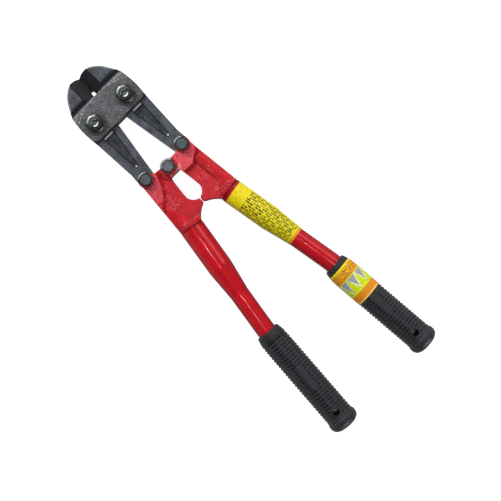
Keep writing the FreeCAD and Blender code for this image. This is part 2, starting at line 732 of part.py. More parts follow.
def grip_profile():
    """Outer profile of a grip, from its lip to the end of its flange."""
    return [
        (GRIP_START, GRIP_LIP_R), (GRIP_START + GRIP_LIP_ROUND, GRIP_LIP_R + GRIP_LIP_ROUND),
        (SHOULDER_AT, SHOULDER_R), (SWELL_AT, SWELL_R), (GRIP_FULL, GRIP_R), (FLANGE_START, GRIP_R),
        (FLANGE_START + FLANGE_STEP, FLANGE_R), (FLANGE_END, FLANGE_R)]


def right_grip():
    """Closed rubber sleeve with a hang hole behind the tube's end."""
    points = [Vector(x, radius, 0) for x, radius in grip_profile()]
    cap_edge = Vector(GRIP_END - CAP_HEIGHT, CAP_R, 0)
    cap_ball_r = (CAP_R ** 2 + CAP_HEIGHT ** 2) / (2 * CAP_HEIGHT)
    ball_centre = Vector(GRIP_END - cap_ball_r, 0, 0)
    cap_mid = polar(ball_centre, cap_ball_r, direction(cap_edge - ball_centre) / 2)
    face = outline(
        Vector(GRIP_START, 0, 0), *points, bowed(points[-1], cap_edge, END_ROUND_BULGE),
        (cap_mid, Vector(GRIP_END, 0, 0)))
    body = face.revolve(ORIGIN, ALONG, 360)
    bore_r = TUBE_END_R + SEAT_FIT
    bore = Part.makeCylinder(bore_r, TUBE_AFTER_BEND, ORIGIN, ALONG)
    hole = rod(HANG_HOLE_R, -FLANGE_R, FLANGE_R, Vector(HANG_HOLE_AT, 0, 0))
    return cleaned(onto_grip_axis(body.cut(bore).cut(hole)))


def seam_cut(length, radius):
    """Narrow block that opens a wrapped label along its underside."""
    return Part.makeBox(length, LABEL_SEAM, radius * 2, Vector(0, -LABEL_SEAM / 2, -radius * 2))


def wrapped(surface):
    """Label that lies on a turned surface, given as (distance, radius) pairs, open at its seam."""
    outer = [(x, radius + SEAT_FIT + LABEL_T) for x, radius in surface]
    inner = [(x, radius + SEAT_FIT) for x, radius in reversed(surface)]
    end, widest = surface[-1][0], max(radius for x, radius in surface)
    return turned_along(outer + inner).cut(seam_cut(end + 1, widest + 1))


def tube_radius(distance):
    """Outer radius of a tube at a distance along its first axis."""
    share = (distance - SWAGE_START) / (SWAGE_END - SWAGE_START)
    return TUBE_R + (TUBE_END_R - TUBE_R) * min(max(share, 0), 1)


def tube_label():
    """Sleeve on the right tube that follows its swage."""
    stations = [TUBE_LABEL_START, SWAGE_START, SWAGE_END, TUBE_LABEL_END]
    stations = [x for x in stations if TUBE_LABEL_START <= x <= TUBE_LABEL_END]
    return cleaned(onto_axis(wrapped([(x, tube_radius(x)) for x in stations])))


def grip_label():
    """Band round the front of the right grip."""
    surface = [point for point in grip_profile() if SHOULDER_AT <= point[0] < GRIP_LABEL_END]
    surface.append((GRIP_LABEL_END, GRIP_R))
    return cleaned(onto_grip_axis(wrapped(surface)))


# The whole tool

def pieces():
    """Every node's name and shape, drawn about the middle plane."""
    left_blade_pivot = mirrored_point(BLADE)
    left_link = mirrored_point(LINK)
    upper = upper_plate()
    head = right_head()
    tube = right_tube()
    grip = right_grip()
    nodes = {
        "right_blade": right_blade(EDGE_LINE, OPEN_PIVOT_SLACK),
        "left_blade": mirrored(right_blade(-EDGE_LINE, 0)),
        "upper_link_plate": upper,
        "lower_link_plate": turned_over(upper),
        "right_handle_head": head,
        "left_handle_head": turned_over(head),
        "right_tube": tube,
        "left_tube": mirrored(tube),
        "right_grip": grip,
        "left_grip": mirrored(grip),
        "tube_label": tube_label(),
        "grip_label": grip_label(),
        "pivot_bolt": head_bolt(ORIGIN, PIVOT_CORNER_AT),
        "pivot_washer": washer(PIVOT_WASHER_R, ORIGIN),
        "pivot_nut": head_nut(ORIGIN, PIVOT_CORNER_AT),
    }
    for side, blade_pivot, link in (("right", BLADE, LINK), ("left", left_blade_pivot, left_link)):
        nodes[side + "_blade_bolt"] = blade_bolt(blade_pivot)
        nodes[side + "_lock_nut"] = lock_nut(blade_pivot)
        nodes[side + "_nylon_ring"] = nylon_ring(blade_pivot)
        nodes[side + "_link_bolt"] = head_bolt(link)
        nodes[side + "_link_washer"] = washer(LINK_WASHER_R, link)
        nodes[side + "_link_nut"] = head_nut(link)
    return nodes


def main():
    os.makedirs("parts", exist_ok=True)
    for name, shape in pieces().items():
        shape.translate(UP * MID_HEIGHT)
        solid = shape.Solids[0] if len(shape.Solids) == 1 else shape
        solid.exportStep("parts/" + name + ".step")
        print(name, round(solid.Volume), "valid" if solid.isValid() else "NOT VALID")


main()
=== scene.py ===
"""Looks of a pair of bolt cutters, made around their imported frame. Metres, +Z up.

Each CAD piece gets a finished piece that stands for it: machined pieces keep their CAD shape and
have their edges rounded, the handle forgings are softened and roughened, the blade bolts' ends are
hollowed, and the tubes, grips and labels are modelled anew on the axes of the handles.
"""

import json
import math

import bmesh
import bpy
from bpy.props import FloatProperty, FloatVectorProperty, IntProperty, PointerProperty
from mathutils import Matrix, Vector, noise


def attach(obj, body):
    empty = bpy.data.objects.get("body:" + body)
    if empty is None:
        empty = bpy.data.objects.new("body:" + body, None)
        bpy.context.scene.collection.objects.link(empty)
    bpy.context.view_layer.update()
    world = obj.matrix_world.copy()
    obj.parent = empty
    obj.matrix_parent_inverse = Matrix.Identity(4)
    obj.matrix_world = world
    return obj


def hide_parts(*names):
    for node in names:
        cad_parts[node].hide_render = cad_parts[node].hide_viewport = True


bl_info = {
    "name": "Bolt Cutters",
    "version": (1, 0, 0),
    "blender": (4, 5, 0),
    "location": "3D View > Sidebar > Bolt Cutters",
    "description": "Builds the pieces of a pair of bolt cutters around their CAD frame",
    "category": "Add Mesh",
}

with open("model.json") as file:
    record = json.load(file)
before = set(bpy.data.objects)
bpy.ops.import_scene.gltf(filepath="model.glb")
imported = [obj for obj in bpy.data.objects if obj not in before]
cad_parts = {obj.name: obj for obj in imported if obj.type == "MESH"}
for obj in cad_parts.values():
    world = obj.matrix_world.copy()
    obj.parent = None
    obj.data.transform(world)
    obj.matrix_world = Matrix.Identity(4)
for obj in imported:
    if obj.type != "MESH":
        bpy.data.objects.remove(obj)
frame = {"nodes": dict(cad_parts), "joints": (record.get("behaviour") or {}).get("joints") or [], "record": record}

MM = 0.001
SIDES = {"right": 1, "left": -1}

# Places that the frame gives
JOINTS = {joint["name"]: Vector(joint["pos_m"]) for joint in frame["joints"]}
MOUNTS = {mount["name"]: Vector(mount["pos_m"]) for mount in frame["record"]["mounts"]}
CENTRE_PIVOT = JOINTS["handle_spread"]
LINK_PIVOT = {"right": JOINTS["right_jaw_turn"], "left": JOINTS["left_jaw_turn"]}
BLADE_PIVOT = {"left": JOINTS["plates_turn"]}
BLADE_PIVOT["right"] = Vector((BLADE_PIVOT["left"].x, -BLADE_PIVOT["left"].y, BLADE_PIVOT["left"].z))
MID_HEIGHT = CENTRE_PIVOT.z

# The handles' line: a straight axis, a small bend, and the grip's axis
HANDLE_SPLAY = math.radians(9.4)
GRIP_SPLAY = math.radians(4.4)
BEND_AT = 188.5 * MM
BEND_RADIUS = 60 * MM
HANG_HOLE_AT = 109.7 * MM
HANG_HOLE_RADIUS = 3.3 * MM
SHANK_END = 60.9 * MM
TUBE_RADIUS = 13 * MM
TUBE_SLIM_RADIUS = 10.1 * MM
TUBE_WALL = 1.8 * MM
SWAGE_START = 110.5 * MM
SWAGE_END = 144.3 * MM
TUBE_AFTER_BEND = 102 * MM
GRIP_RADIUS = 15 * MM
GRIP_LABEL_START = 9.7 * MM
GRIP_LABEL_END = 51.2 * MM
TUBE_LABEL_START = 64.6 * MM
TUBE_LABEL_END = 143.6 * MM
LABEL_THICKNESS = 0.12 * MM
LABEL_PLAY = 0.02 * MM
LABEL_SEAM = 2 * MM
GRIP_START = 3.4 * MM
GRIP_LIP_RADIUS = 12 * MM
GRIP_SHOULDER = ((9.7 * MM, 14.1 * MM), (14.5 * MM, 14.7 * MM), (20.5 * MM, GRIP_RADIUS))
GROOVED = (15 * MM, 116.5 * MM)

# The link plates and the blades. Jaws, rim, mouth and tail are places along X from a blade's pivot
PLATE_BEVEL_RADIUS = 69 * MM
PLATE_BOLTS = tuple(BLADE_PIVOT.values())
JAWS_BEFORE = -20 * MM
RIM_BEFORE = -24 * MM
MOUTH_BEFORE = -27 * MM
TAIL = (17 * MM, 60 * MM)
BLADE_HALF_THICKNESS = 5 * MM
RIM_HEIGHT = 6.2 * MM
POCKET_DEPTH = (0.9 * MM, 1.5 * MM)
# Width of the ring of painted shade round each pocket floor
POCKET_SHADE_WIDTH = 1.05 * MM
SMALLEST_FLOOR = 20 * MM * MM
EDGE_MEETS = 0.049 * MM      # how far a cutting edge is drawn toward the other to close the line

# The blades' materials, in the order of their slots; the fourth is a ring of painted shade round each pocket
# floor, the fifth a painted highlight on the jaws' rims
SCALE, GROUND, POCKET_FLOOR, POCKET_SHADE, LIT_RIM = range(5)

# An edge that turns by more than this is rounded
SHARP_ANGLE = math.radians(28)

# The camera looks straight down, turned about its own axis
CAMERA_PLACE = (118.9 * MM, -1.8 * MM, MID_HEIGHT + 1050 * MM)
CAMERA_TURN = math.radians(44.8)
CAMERA_ANGLE = math.radians(27.45)


def colour(red, green, blue):
    """A screen colour from 0 to 255, as the linear colour that Blender keeps."""
    def linear(value):
        share = value / 255
        return share / 12.92 if share <= 0.04045 else ((share + 0.055) / 1.055) ** 2.4
    return linear(red), linear(green), linear(blue)


def colour_setting(name, description, red, green, blue):
    return FloatVectorProperty(
        name=name, description=description, subtype="COLOR", size=3, min=0, max=1,
        default=colour(red, green, blue))


def count_setting(name, description, default, least, most):
    return IntProperty(name=name, description=description, default=default, min=least, max=most)


def power_setting(name, description, default):
    return FloatProperty(name=name, description=description, unit="POWER", default=default, min=0)


def share_setting(name, description, default):
    return FloatProperty(
        name=name, description=description, subtype="FACTOR", default=default, min=0, max=1)


def length_setting(name, description, millimetres, least=0.0):
    return FloatProperty(
        name=name, description=description, unit="LENGTH", min=least * MM, precision=5,
        default=millimetres * MM)


# Settings

class EdgeSettings(bpy.types.PropertyGroup):
    """How far the edges of machined pieces are rounded."""
    blade: length_setting("Blade edges", "Rounding of the blades' edges", 0.35)
    plate: length_setting("Plate edges", "Rounding of the link plates' edges", 0.3)
    fastener: length_setting("Fastener edges", "Rounding of bolts and nuts", 0.18)
    collar: length_setting("Collar edges", "Rounding of the lock nuts' edges", 0.42)
    washer: length_setting("Washer edges", "Rounding of the washers' rims", 0.7)


class ForgingSettings(bpy.types.PropertyGroup):
    """How the handle forgings are softened."""
    grain: length_setting("Grain", "Size of the faces that the forging's skin is made of", 0.42, 0.2)
    passes: count_setting("Softening", "How often the forging's skin is evened out", 10, 0, 30)
    root_passes: count_setting("Root softening", "The same where the web runs into the shank", 50, 0, 200)
    scale_depth: length_setting("Scale depth", "Height of the unevenness that forging scale leaves", 0.11)
    crimp_depth: length_setting("Crimp depth", "Depth of the crimping marks at the shank's end", 0.3)


class GripSettings(bpy.types.PropertyGroup):
    """The grips' moulded pattern."""
    pitch: length_setting("Groove pitch", "Distance from one groove to the next", 3.63, 1)
    groove_width: length_setting("Groove width", "Width of a groove", 1.75, 0.2)
    groove_depth: length_setting("Groove depth", "Depth of a groove", 1.15)
    grooves: count_setting("Grooves", "Number of grooves along a grip", 28, 1, 40)
    first_groove: length_setting("First groove", "From the bend to the first groove's middle", 15.6)
    ridge: length_setting("Ridge", "Width of the smooth ridge along the grip", 2.2)
    slot_end: length_setting("Slot end", "From the ridge's middle to the end of a groove's upper part", 8.1)
    rib: length_setting("Rib", "Width of the rib between a groove's upper and side parts", 1.1)
    panel_start: length_setting("Panel start", "From the bend to the blank panel", 48.3)
    panel_length: length_setting("Panel length", "Length of the blank panel", 32.0)
    panel_width: length_setting("Panel width", "Width of the blank panel", 8.8)


class ColourSettings(bpy.types.PropertyGroup):
    """Colours of the finishes."""
    blade: colour_setting("Blades", "Blackened forged steel", 74, 77, 86)
    # The bevels' near black is partly blackening and partly painted shade for their dark reflection
    ground: colour_setting("Cutting edges", "Ground and blackened cutting bevels", 22, 24, 28)
    pocket: colour_setting("Pockets", "Rough floor of the blades' pockets", 56, 59, 67)
    # Painted highlight: the jaws' outer chamfers are coloured light grey where they catch the light
    rim: colour_setting("Rims", "Rubbed edges of the jaws", 128, 131, 138)
    plate: colour_setting("Link plates", "Phosphated plate steel", 91, 92, 95)
    bolt: colour_setting("Bolts", "Dark plated bolts and nuts", 72, 83, 85)
    washer: colour_setting("Washers", "Plated washers and the centre bolt", 96, 99, 102)
    nylon: colour_setting("Nylon", "Locking rings", 40, 42, 48)
    head: colour_setting("Handle heads", "Red paint on the forgings", 196, 16, 32)
    # Painted sheen: a pale red that stands in for the light the raised pads reflect
    pad: colour_setting("Pad sheen", "Dull red of the forgings' raised pads", 236, 88, 98)
    tube: colour_setting("Tubes", "Red paint on the tubes", 200, 12, 30)
    rubber: colour_setting("Grips", "Black rubber", 28, 30, 36)
    label: colour_setting("Label ground", "Yellow of the labels", 238, 222, 12)
    ink: colour_setting("Label ink", "Dark print on the labels", 44, 42, 10)
    orange: colour_setting("Label orange", "Orange of the labels", 238, 150, 20)
    lime: colour_setting("Label lime", "Lime green of the grip's label", 220, 236, 20)
    silver: colour_setting("Label grey", "Grey of the grip's label", 150, 152, 164)


class StageSettings(bpy.types.PropertyGroup):
    """Floor and light."""
    floor: colour_setting("Floor", "Pale floor", 190, 190, 190)
    key: power_setting("Key light", "Soft light from the jaws' side", 12.0)
    side: power_setting("Side light", "Weak light from the right handle's side", 4.5)
    strip: power_setting("Strip light", "Narrow light right above the tubes", 2.6)
    fill: power_setting("Fill light", "Weak light from the grips' side", 2.5)
    surround: share_setting("Surround", "Level of the studio's walls", 0.5)
    ceiling: share_setting("Ceiling", "Level of the studio's ceiling", 0.16)


class CutterSettings(bpy.types.PropertyGroup):
    """All settings of the bolt cutters."""
    edges: PointerProperty(type=EdgeSettings)
    forging: PointerProperty(type=ForgingSettings)
    grip: PointerProperty(type=GripSettings)
    colours: PointerProperty(type=ColourSettings)
    stage: PointerProperty(type=StageSettings)


# Shader maths

class Value:
    """A shader socket that adds and multiplies as a number does."""

    def __init__(self, finish, socket):
        self.finish, self.socket = finish, socket

    def maths(self, operation, *others):
        return self.finish.node("ShaderNodeMath", {"operation": operation}, dict(enumerate((self, *others))))

    def __add__(self, other):
        return self.maths("ADD", other)

    __radd__ = __add__

    def __sub__(self, other):
        return self.maths("SUBTRACT", other)

    def __rsub__(self, other):
        return self.finish.node("ShaderNodeMath", {"operation": "SUBTRACT"}, {0: other, 1: self})

    def __mul__(self, other):
        return self.maths("MULTIPLY", other)

    __rmul__ = __mul__

    def __abs__(self):
        return self.maths("ABSOLUTE")

    def __pow__(self, other):
        return self.maths("POWER", other)

    def least(self, other):
        return self.maths("MINIMUM", other)

    def most(self, other):
        return self.maths("MAXIMUM", other)

    def rises(self, low, high):
        """0 below low, 1 above high, and smooth between them."""
        return self.finish.node(
            "ShaderNodeMapRange", {"interpolation_type": "SMOOTHSTEP"},
            {"Value": self, "From Min": low, "From Max": high})

    def falls(self, low, high):
        return 1 - self.rises(low, high)

    def between(self, low, high, soft):
        """1 from low to high, with soft ends."""
        return self.rises(low - soft, low + soft) * self.falls(high - soft, high + soft)

    def fraction(self):
        return self.maths("FRACT")

    def whole(self):
        return self.maths("FLOOR")


def distance(first, second):
    """Length of a line from its two parts, for values as for numbers."""
    return (first * first + second * second) ** 0.5


class Finish:
    """A material, or the world, with the one method that makes its nodes and the shade so far."""

    def __init__(self, name, world=None):
        self.material = world or bpy.data.materials.new(name)
        self.material.use_nodes = True
        self.tree = self.material.node_tree
        self.tree.nodes.clear()
        self.shade = None

    @staticmethod
    def socket(sockets, key):
        if isinstance(key, int):
            return sockets[key]
        return next(s for s in sockets if key in (s.identifier, s.name) and s.enabled)

    def node(self, kind, settings=None, values=None, output=0):
        """A node with its settings, and the values or links of its sockets."""
        made = self.tree.nodes.new(kind)
        for name, value in (settings or {}).items():
            setattr(made, name, value)
        for key, value in (values or {}).items():
            socket = self.socket(made.inputs, key)
            if isinstance(value, Value):
                self.tree.links.new(value.socket, socket)
            elif socket.type == "RGBA":
                socket.default_value = (*value[:3], 1)
            else:
                socket.default_value = value
        return Value(self, self.socket(made.outputs, output)) if len(made.outputs) else made

    def place(self, frame_place=None, stretch=(1, 1, 1)):
        """Object coordinates, or those of a placed frame, each axis divided by its stretch."""
        at = self.node("ShaderNodeTexCoord", output="Object")
        if frame_place is None and stretch == (1, 1, 1):
            return at
        moved = frame_place or Matrix.Identity(4)
        return self.node(
            "ShaderNodeMapping", {"vector_type": "TEXTURE"},
            {"Vector": at, "Location": moved.to_translation(), "Rotation": moved.to_euler(),
             "Scale": stretch})

    def parts(self, vector):
        return [self.node("ShaderNodeSeparateXYZ", None, {0: vector}, output=axis) for axis in "XYZ"]

    def rays(self):
        """Whether a ray comes from the camera, off something glossy or through glass."""
        return [
            self.node("ShaderNodeLightPath", output=f"Is {ray} Ray")
            for ray in ("Camera", "Glossy", "Transmission")]

    def arcs(self, centres, inner, outer, facing=0, spread=0.75):
        """Share of being in a ring about upright axes, or in its arc toward -X or +X if facing is -1 or 1."""
        share = None
        for centre in centres:
            x, y, _ = self.parts(self.place(Matrix.Translation(centre)))
            reach = distance(x, y)
            ring = reach.between(inner, outer, 0.25 * MM)
            if facing:
                ring = ring * (x * facing - reach * spread).rises(-0.12 * outer, 0.12 * outer)
            share = ring if share is None else share.most(ring)
        return share

    def beyond_hexagon(self, centres, half_flats, corner_at):
        """Share of being outside upright hexagons, with a corner that many degrees from the X axis."""
        share = None
        for centre in centres:
            x, y, _ = self.parts(self.place(Matrix.Translation(centre)))
            reach = None
            for side in range(3):
                turn = math.radians(corner_at + 30 + 60 * side)
                off = abs(x * math.cos(turn) + y * math.sin(turn))
                reach = off if reach is None else reach.most(off)
            outside = reach.rises(half_flats - 0.25 * MM, half_flats + 0.25 * MM)
            share = outside if share is None else share.least(outside)
        return share

    def noise(self, at, size, detail=2.0, coarse=0.5, warp=0.0):
        """Soft unevenness whose features are about size millimetres across."""
        return self.node(
            "ShaderNodeTexNoise", {"noise_dimensions": "3D"},
            {"Vector": at, "Scale": 1 / (size * MM), "Detail": detail, "Roughness": coarse,
             "Distortion": warp},
            output="Fac")

    def blend(self, share, first, second):
        """Colour that goes from first to second."""
        return self.node(
            "ShaderNodeMix", {"data_type": "RGBA", "clamp_factor": True},
            {"Factor_Float": share, "A_Color": first, "B_Color": second}, output="Result_Color")

    def mottle(self, share, base, low, high):
        """Starts the shade, from one brightness of the base colour to another."""
        self.shade = self.blend(share, shaded(base, low), shaded(base, high))

    def paint(self, share, over):
        """Lays a colour over the shade."""
        self.shade = self.blend(share, self.shade, over)

    def bump(self, height, depth, base=None):
        """Normal for a height from 0 to 1 that stands depth millimetres."""
        values = {"Height": height, "Strength": 1.0, "Distance": depth * MM}
        if base is not None:
            values["Normal"] = base
        return self.node("ShaderNodeBump", None, values)

    def surface(self, **values):
        """Ends the material with a Principled shader in the shade so far.

        Names are the shader's sockets', joined by underscores.
        """
        named = {name.replace("_", " "): value for name, value in values.items()}
        named["Base Color"] = self.shade
        shader = self.node("ShaderNodeBsdfPrincipled", None, named)
        self.node("ShaderNodeOutputMaterial", None, {"Surface": shader})
        return self.material


def shaded(base, share):
    """A colour made darker or lighter by a share."""
    return tuple(min(1.0, part * share) for part in base)


# Finishes

def forged_steel(
        name, base, rough=0.5, scale_size=1.3, scale_depth=0.05, contrast=1.0, metal=0.35, shadow_bands=None,
        highlight_spots=None, bevel_arc=None):
    """Blackened steel with cloudy scale.

    The shadow bands are X ranges painted near black as shade beside the link plates. The highlight
    spots are the middles and half sizes of painted highlights, in X and away from the tool's middle
    line. The arc's centre and radius give painted highlight specks along the plates' curved bevel and
    beyond it toward the front, painted shadow rings round the lock nuts, and pale and dark pits.
    """
    finish = Finish(name)
    at = finish.place()
    clouds = finish.noise(at, 8.0, detail=3)
    scale = finish.noise(at, scale_size, detail=4, coarse=0.6)
    grit = finish.noise(at, 0.3, detail=2)
    tone = (clouds * 0.45 + scale * 0.55).rises(0.36, 0.64)
    finish.mottle(tone, base, 1 - 0.34 * contrast, 1 + 0.30 * contrast)
    finish.paint(grit.rises(0.62, 0.72) * 0.35, shaded(base, 1.9))
    # Painted shadow: near-black bands across the blade beside the link plates
    for start, full, end in shadow_bands or ():
        along, _, _ = finish.parts(at)
        band = along.rises(start, full) * along.falls(end, end + 1 * MM)
        finish.paint(band * 0.88, shaded(base, 0.1))
    if bevel_arc:
        centre, radius = bevel_arc
        x, y, _ = finish.parts(finish.place(Matrix.Translation(centre)))
        reach = distance(x, y)
        # Painted highlight: bright specks along the plates' curved bevel and beyond it toward the front
        specks = finish.noise(at, 0.9, detail=2)
        line = abs(reach - radius).falls(0.35 * MM, 0.75 * MM) * specks.rises(0.46, 0.58)
        front = x.falls(-20 * MM, -10 * MM) * reach.rises(radius, radius + 0.6 * MM) * specks.rises(0.5, 0.62)
        finish.paint((line * 0.75).most(front * 0.4), colour(196, 198, 200))
        pits = finish.noise(at, 1.1, detail=2, warp=0.3)
        finish.paint(pits.falls(0.38, 0.44) * 0.7, shaded(base, 0.35))
        finish.paint(pits.rises(0.58, 0.64) * 0.3, colour(170, 172, 176))
        # Painted shadow: a darker ring round each lock nut
        finish.paint(finish.arcs(PLATE_BOLTS, 8.5 * MM, 12 * MM) * 0.5, shaded(base, 0.35))
    # Painted highlights: pale spots where the pocket's rib and narrow end catch the light
    for middle, half, aside, half_aside in highlight_spots or ():
        along, across, _ = finish.parts(at)
        inside = abs(along - middle).falls(half * 0.6, half)
        inside = inside * abs(abs(across) - aside).falls(half_aside * 0.8, half_aside)
        finish.paint(inside * (0.55 + 0.4 * scale), colour(214, 214, 218))
    normal = finish.bump(grit, 0.012, finish.bump(scale, scale_depth))
    return finish.surface(
        Roughness=rough - 0.1 + scale * 0.2, Metallic=metal, Normal=normal)


def ground_steel(name, base):
    """Ground bevel, blackened and made darker still as painted shade for its dark reflection, with fine lines
    across the edge.
    """
    finish = Finish(name)
    at = finish.place()
    lines = finish.noise(finish.place(None, (0.12, 3.0, 3.0)), 1.0, detail=3)
    clouds = finish.noise(at, 5.0, detail=3)
    finish.mottle(clouds.rises(0.35, 0.7), base, 0.7, 1.5)
    return finish.surface(
        Roughness=0.36 + clouds * 0.2, Metallic=0.2, Specular_IOR_Level=0.3,
        Normal=finish.bump(lines, 0.01))


def fastener_steel(name, base, centres, face, bright=(), corner_at=0, painted=None):
    """Blackened fastener: lighter on its face, painted dark as shade beyond it, with painted highlights in arcs.

    Face is half the size across flats of the lighter part. Each painted highlight arc is (inner radius,
    outer radius, facing, spread, strength), as for Finish.arcs. Painted is the colour that was sprayed
    over its side toward +X.
    """
    finish = Finish(name)
    at = finish.place()
    clouds = finish.noise(at, 3.0, detail=3)
    grit = finish.noise(at, 0.5, detail=3)
    finish.mottle(clouds.rises(0.35, 0.65), base, 0.75, 1.25)
    dark = shaded(base, 0.16)
    # Painted shade: dark beyond the hexagonal face
    finish.paint(finish.beyond_hexagon(centres, face, corner_at), dark)
    finish.paint(grit.rises(0.56, 0.66) * 0.3, shaded(base, 1.9))
    # Painted highlights: pale arcs where edges and rims catch the light
    for inner, outer, facing, spread, strength in bright:
        lit_and_worn = finish.arcs(centres, inner, outer, facing, spread) * grit.rises(0.3, 0.5) * (0.3 + clouds)
        finish.paint(lit_and_worn * strength, colour(244, 244, 246))
    if painted:
        sprayed = finish.arcs(centres, 6.6 * MM, 20 * MM, 1, -0.2)
        sprayed = sprayed * (grit * 0.5 + clouds * 0.5).rises(0.42, 0.52)
        finish.paint(sprayed * 0.85, painted)
    return finish.surface(
        Roughness=0.34 + grit * 0.2, Metallic=0.25, Specular_IOR_Level=0.4,
        Normal=finish.bump(grit, 0.03))


def forged_paint(name, base, pad, place):
    """Red paint over a forging: pale on its edges from wear and as a painted highlight, painted shade in
    its hollows, a painted sheen on its raised pads and its web, painted glints at its crimped end.
    """
    finish = Finish(name)
    at = finish.place()
    along, _, up = finish.parts(finish.place(place))
    bulge = finish.node("ShaderNodeAttribute", {"attribute_name": "bulge"}, output="Fac")
    clouds = finish.noise(at, 9.0, detail=3)
    scale = finish.noise(at, 1.6, detail=4, coarse=0.6)
    grit = finish.noise(at, 0.45, detail=3)
    tone = (clouds * 0.5 + scale * 0.5).rises(0.38, 0.62)
    finish.mottle(tone, base, 0.82, 1.12)
    # Painted sheen: the web mottled with the pads' pale red
    web_sheen = abs(up).falls(6.5 * MM, 7.5 * MM)
    finish.paint(web_sheen * 0.3 * scale, pad)
    # Painted sheen on the raised pads
    raised = abs(up).rises(8.2 * MM, 9.0 * MM) * along.falls(20 * MM, 24 * MM)
    finish.paint(raised * (0.65 + 0.35 * tone), pad)
    # Painted shade in the forging's hollows
    hollow = bulge.falls(0.3, 0.49)
    finish.paint(hollow * 0.9, shaded(base, 0.25))
    # Pale on bulging edges: wear of the paint, and a painted highlight along the ridges
    lit_and_worn = bulge.rises(0.56, 0.8) * scale.rises(0.4, 0.6)
    finish.paint(lit_and_worn * 0.3, colour(226, 96, 104))
    # Round the pivots the paint is scuffed pale in flecks
    rubbed_and_lit = finish.arcs([CENTRE_PIVOT, *LINK_PIVOT.values()], 7 * MM, 11 * MM)
    hub = finish.arcs([CENTRE_PIVOT], 8.5 * MM, 13 * MM, 1, 0.5) * abs(up).rises(6 * MM, 8 * MM)
    finish.paint(hub * (0.25 + 0.65 * tone), colour(240, 156, 162))
    # Pale flecks in patches and round the pivots are scuffed paint; on the crimped end of the shank they are
    # painted glints
    end_patch = along.between(SHANK_END - 8 * MM, SHANK_END - 4 * MM, 1 * MM)
    patches = finish.noise(at, 9.0, detail=1).rises(0.55, 0.62).most(end_patch).most(rubbed_and_lit)
    flecks = finish.noise(at, 1.0, detail=3, coarse=0.6).rises(0.56, 0.64) * patches
    finish.paint(flecks * 0.75, colour(240, 156, 162))
    pits = finish.noise(at, 1.6, detail=1, warp=0.5).falls(0.38, 0.44) * patches
    finish.paint(pits * 0.75, shaded(base, 0.35))
    joint = along.rises(SHANK_END - 1.2 * MM, SHANK_END - 0.5 * MM)
    finish.paint(joint * 0.85, shaded(base, 0.1))
    normal = finish.bump(grit, 0.02, finish.bump(scale, 0.07))
    return finish.surface(
        Roughness=0.45 + scale * 0.2, Normal=normal, Coat_Weight=0.04,
        Coat_Roughness=0.3, Specular_IOR_Level=0.16)


def tube_paint(name, base, place, labelled):
    """Glossy red paint on drawn tube, with faint draw lines along it and small marks, painted shade on
    its sides, and on the labelled tube painted shade on the stub before the label.
    """
    finish = Finish(name)
    at = finish.place()
    lines = finish.noise(finish.place(place, (26, 1, 1)), 1.1, detail=3)
    clouds = finish.noise(at, 11.0, detail=3)
    peel = finish.noise(at, 1.4, detail=2)
    nicks = finish.noise(finish.place(place, (3, 1, 1)), 1.6, detail=3, warp=0.4).rises(0.7, 0.74)
    finish.mottle(clouds.rises(0.35, 0.65), base, 0.9, 1.08)
    finish.paint(lines.rises(0.45, 0.7) * 0.35, shaded(base, 0.78))
    finish.paint(nicks * 0.5, colour(224, 90, 96))
    along, _, up = finish.parts(finish.place(place))
    # Painted shade: darker down the tube's sides
    sides = up.falls(1 * MM, 10 * MM)
    finish.paint(sides * 0.85, shaded(base, 0.3))
    # Painted shade on the stub before the label
    stub = along.falls(TUBE_LABEL_START - 0.5 * MM, TUBE_LABEL_START + 0.5 * MM) if labelled else 0.0
    finish.paint(stub * 0.55, shaded(base, 0.3))
    joint = along.falls(SHANK_END + 0.4 * MM, SHANK_END + 1.0 * MM)
    finish.paint(joint * 0.85, shaded(base, 0.1))
    normal = finish.bump(lines, 0.003, finish.bump(peel, 0.002))
    return finish.surface(
        Roughness=0.4 + nicks * 0.3, Normal=normal, Coat_Weight=0.3 * (1 - sides),
        Coat_Roughness=0.04, Specular_IOR_Level=0.1)


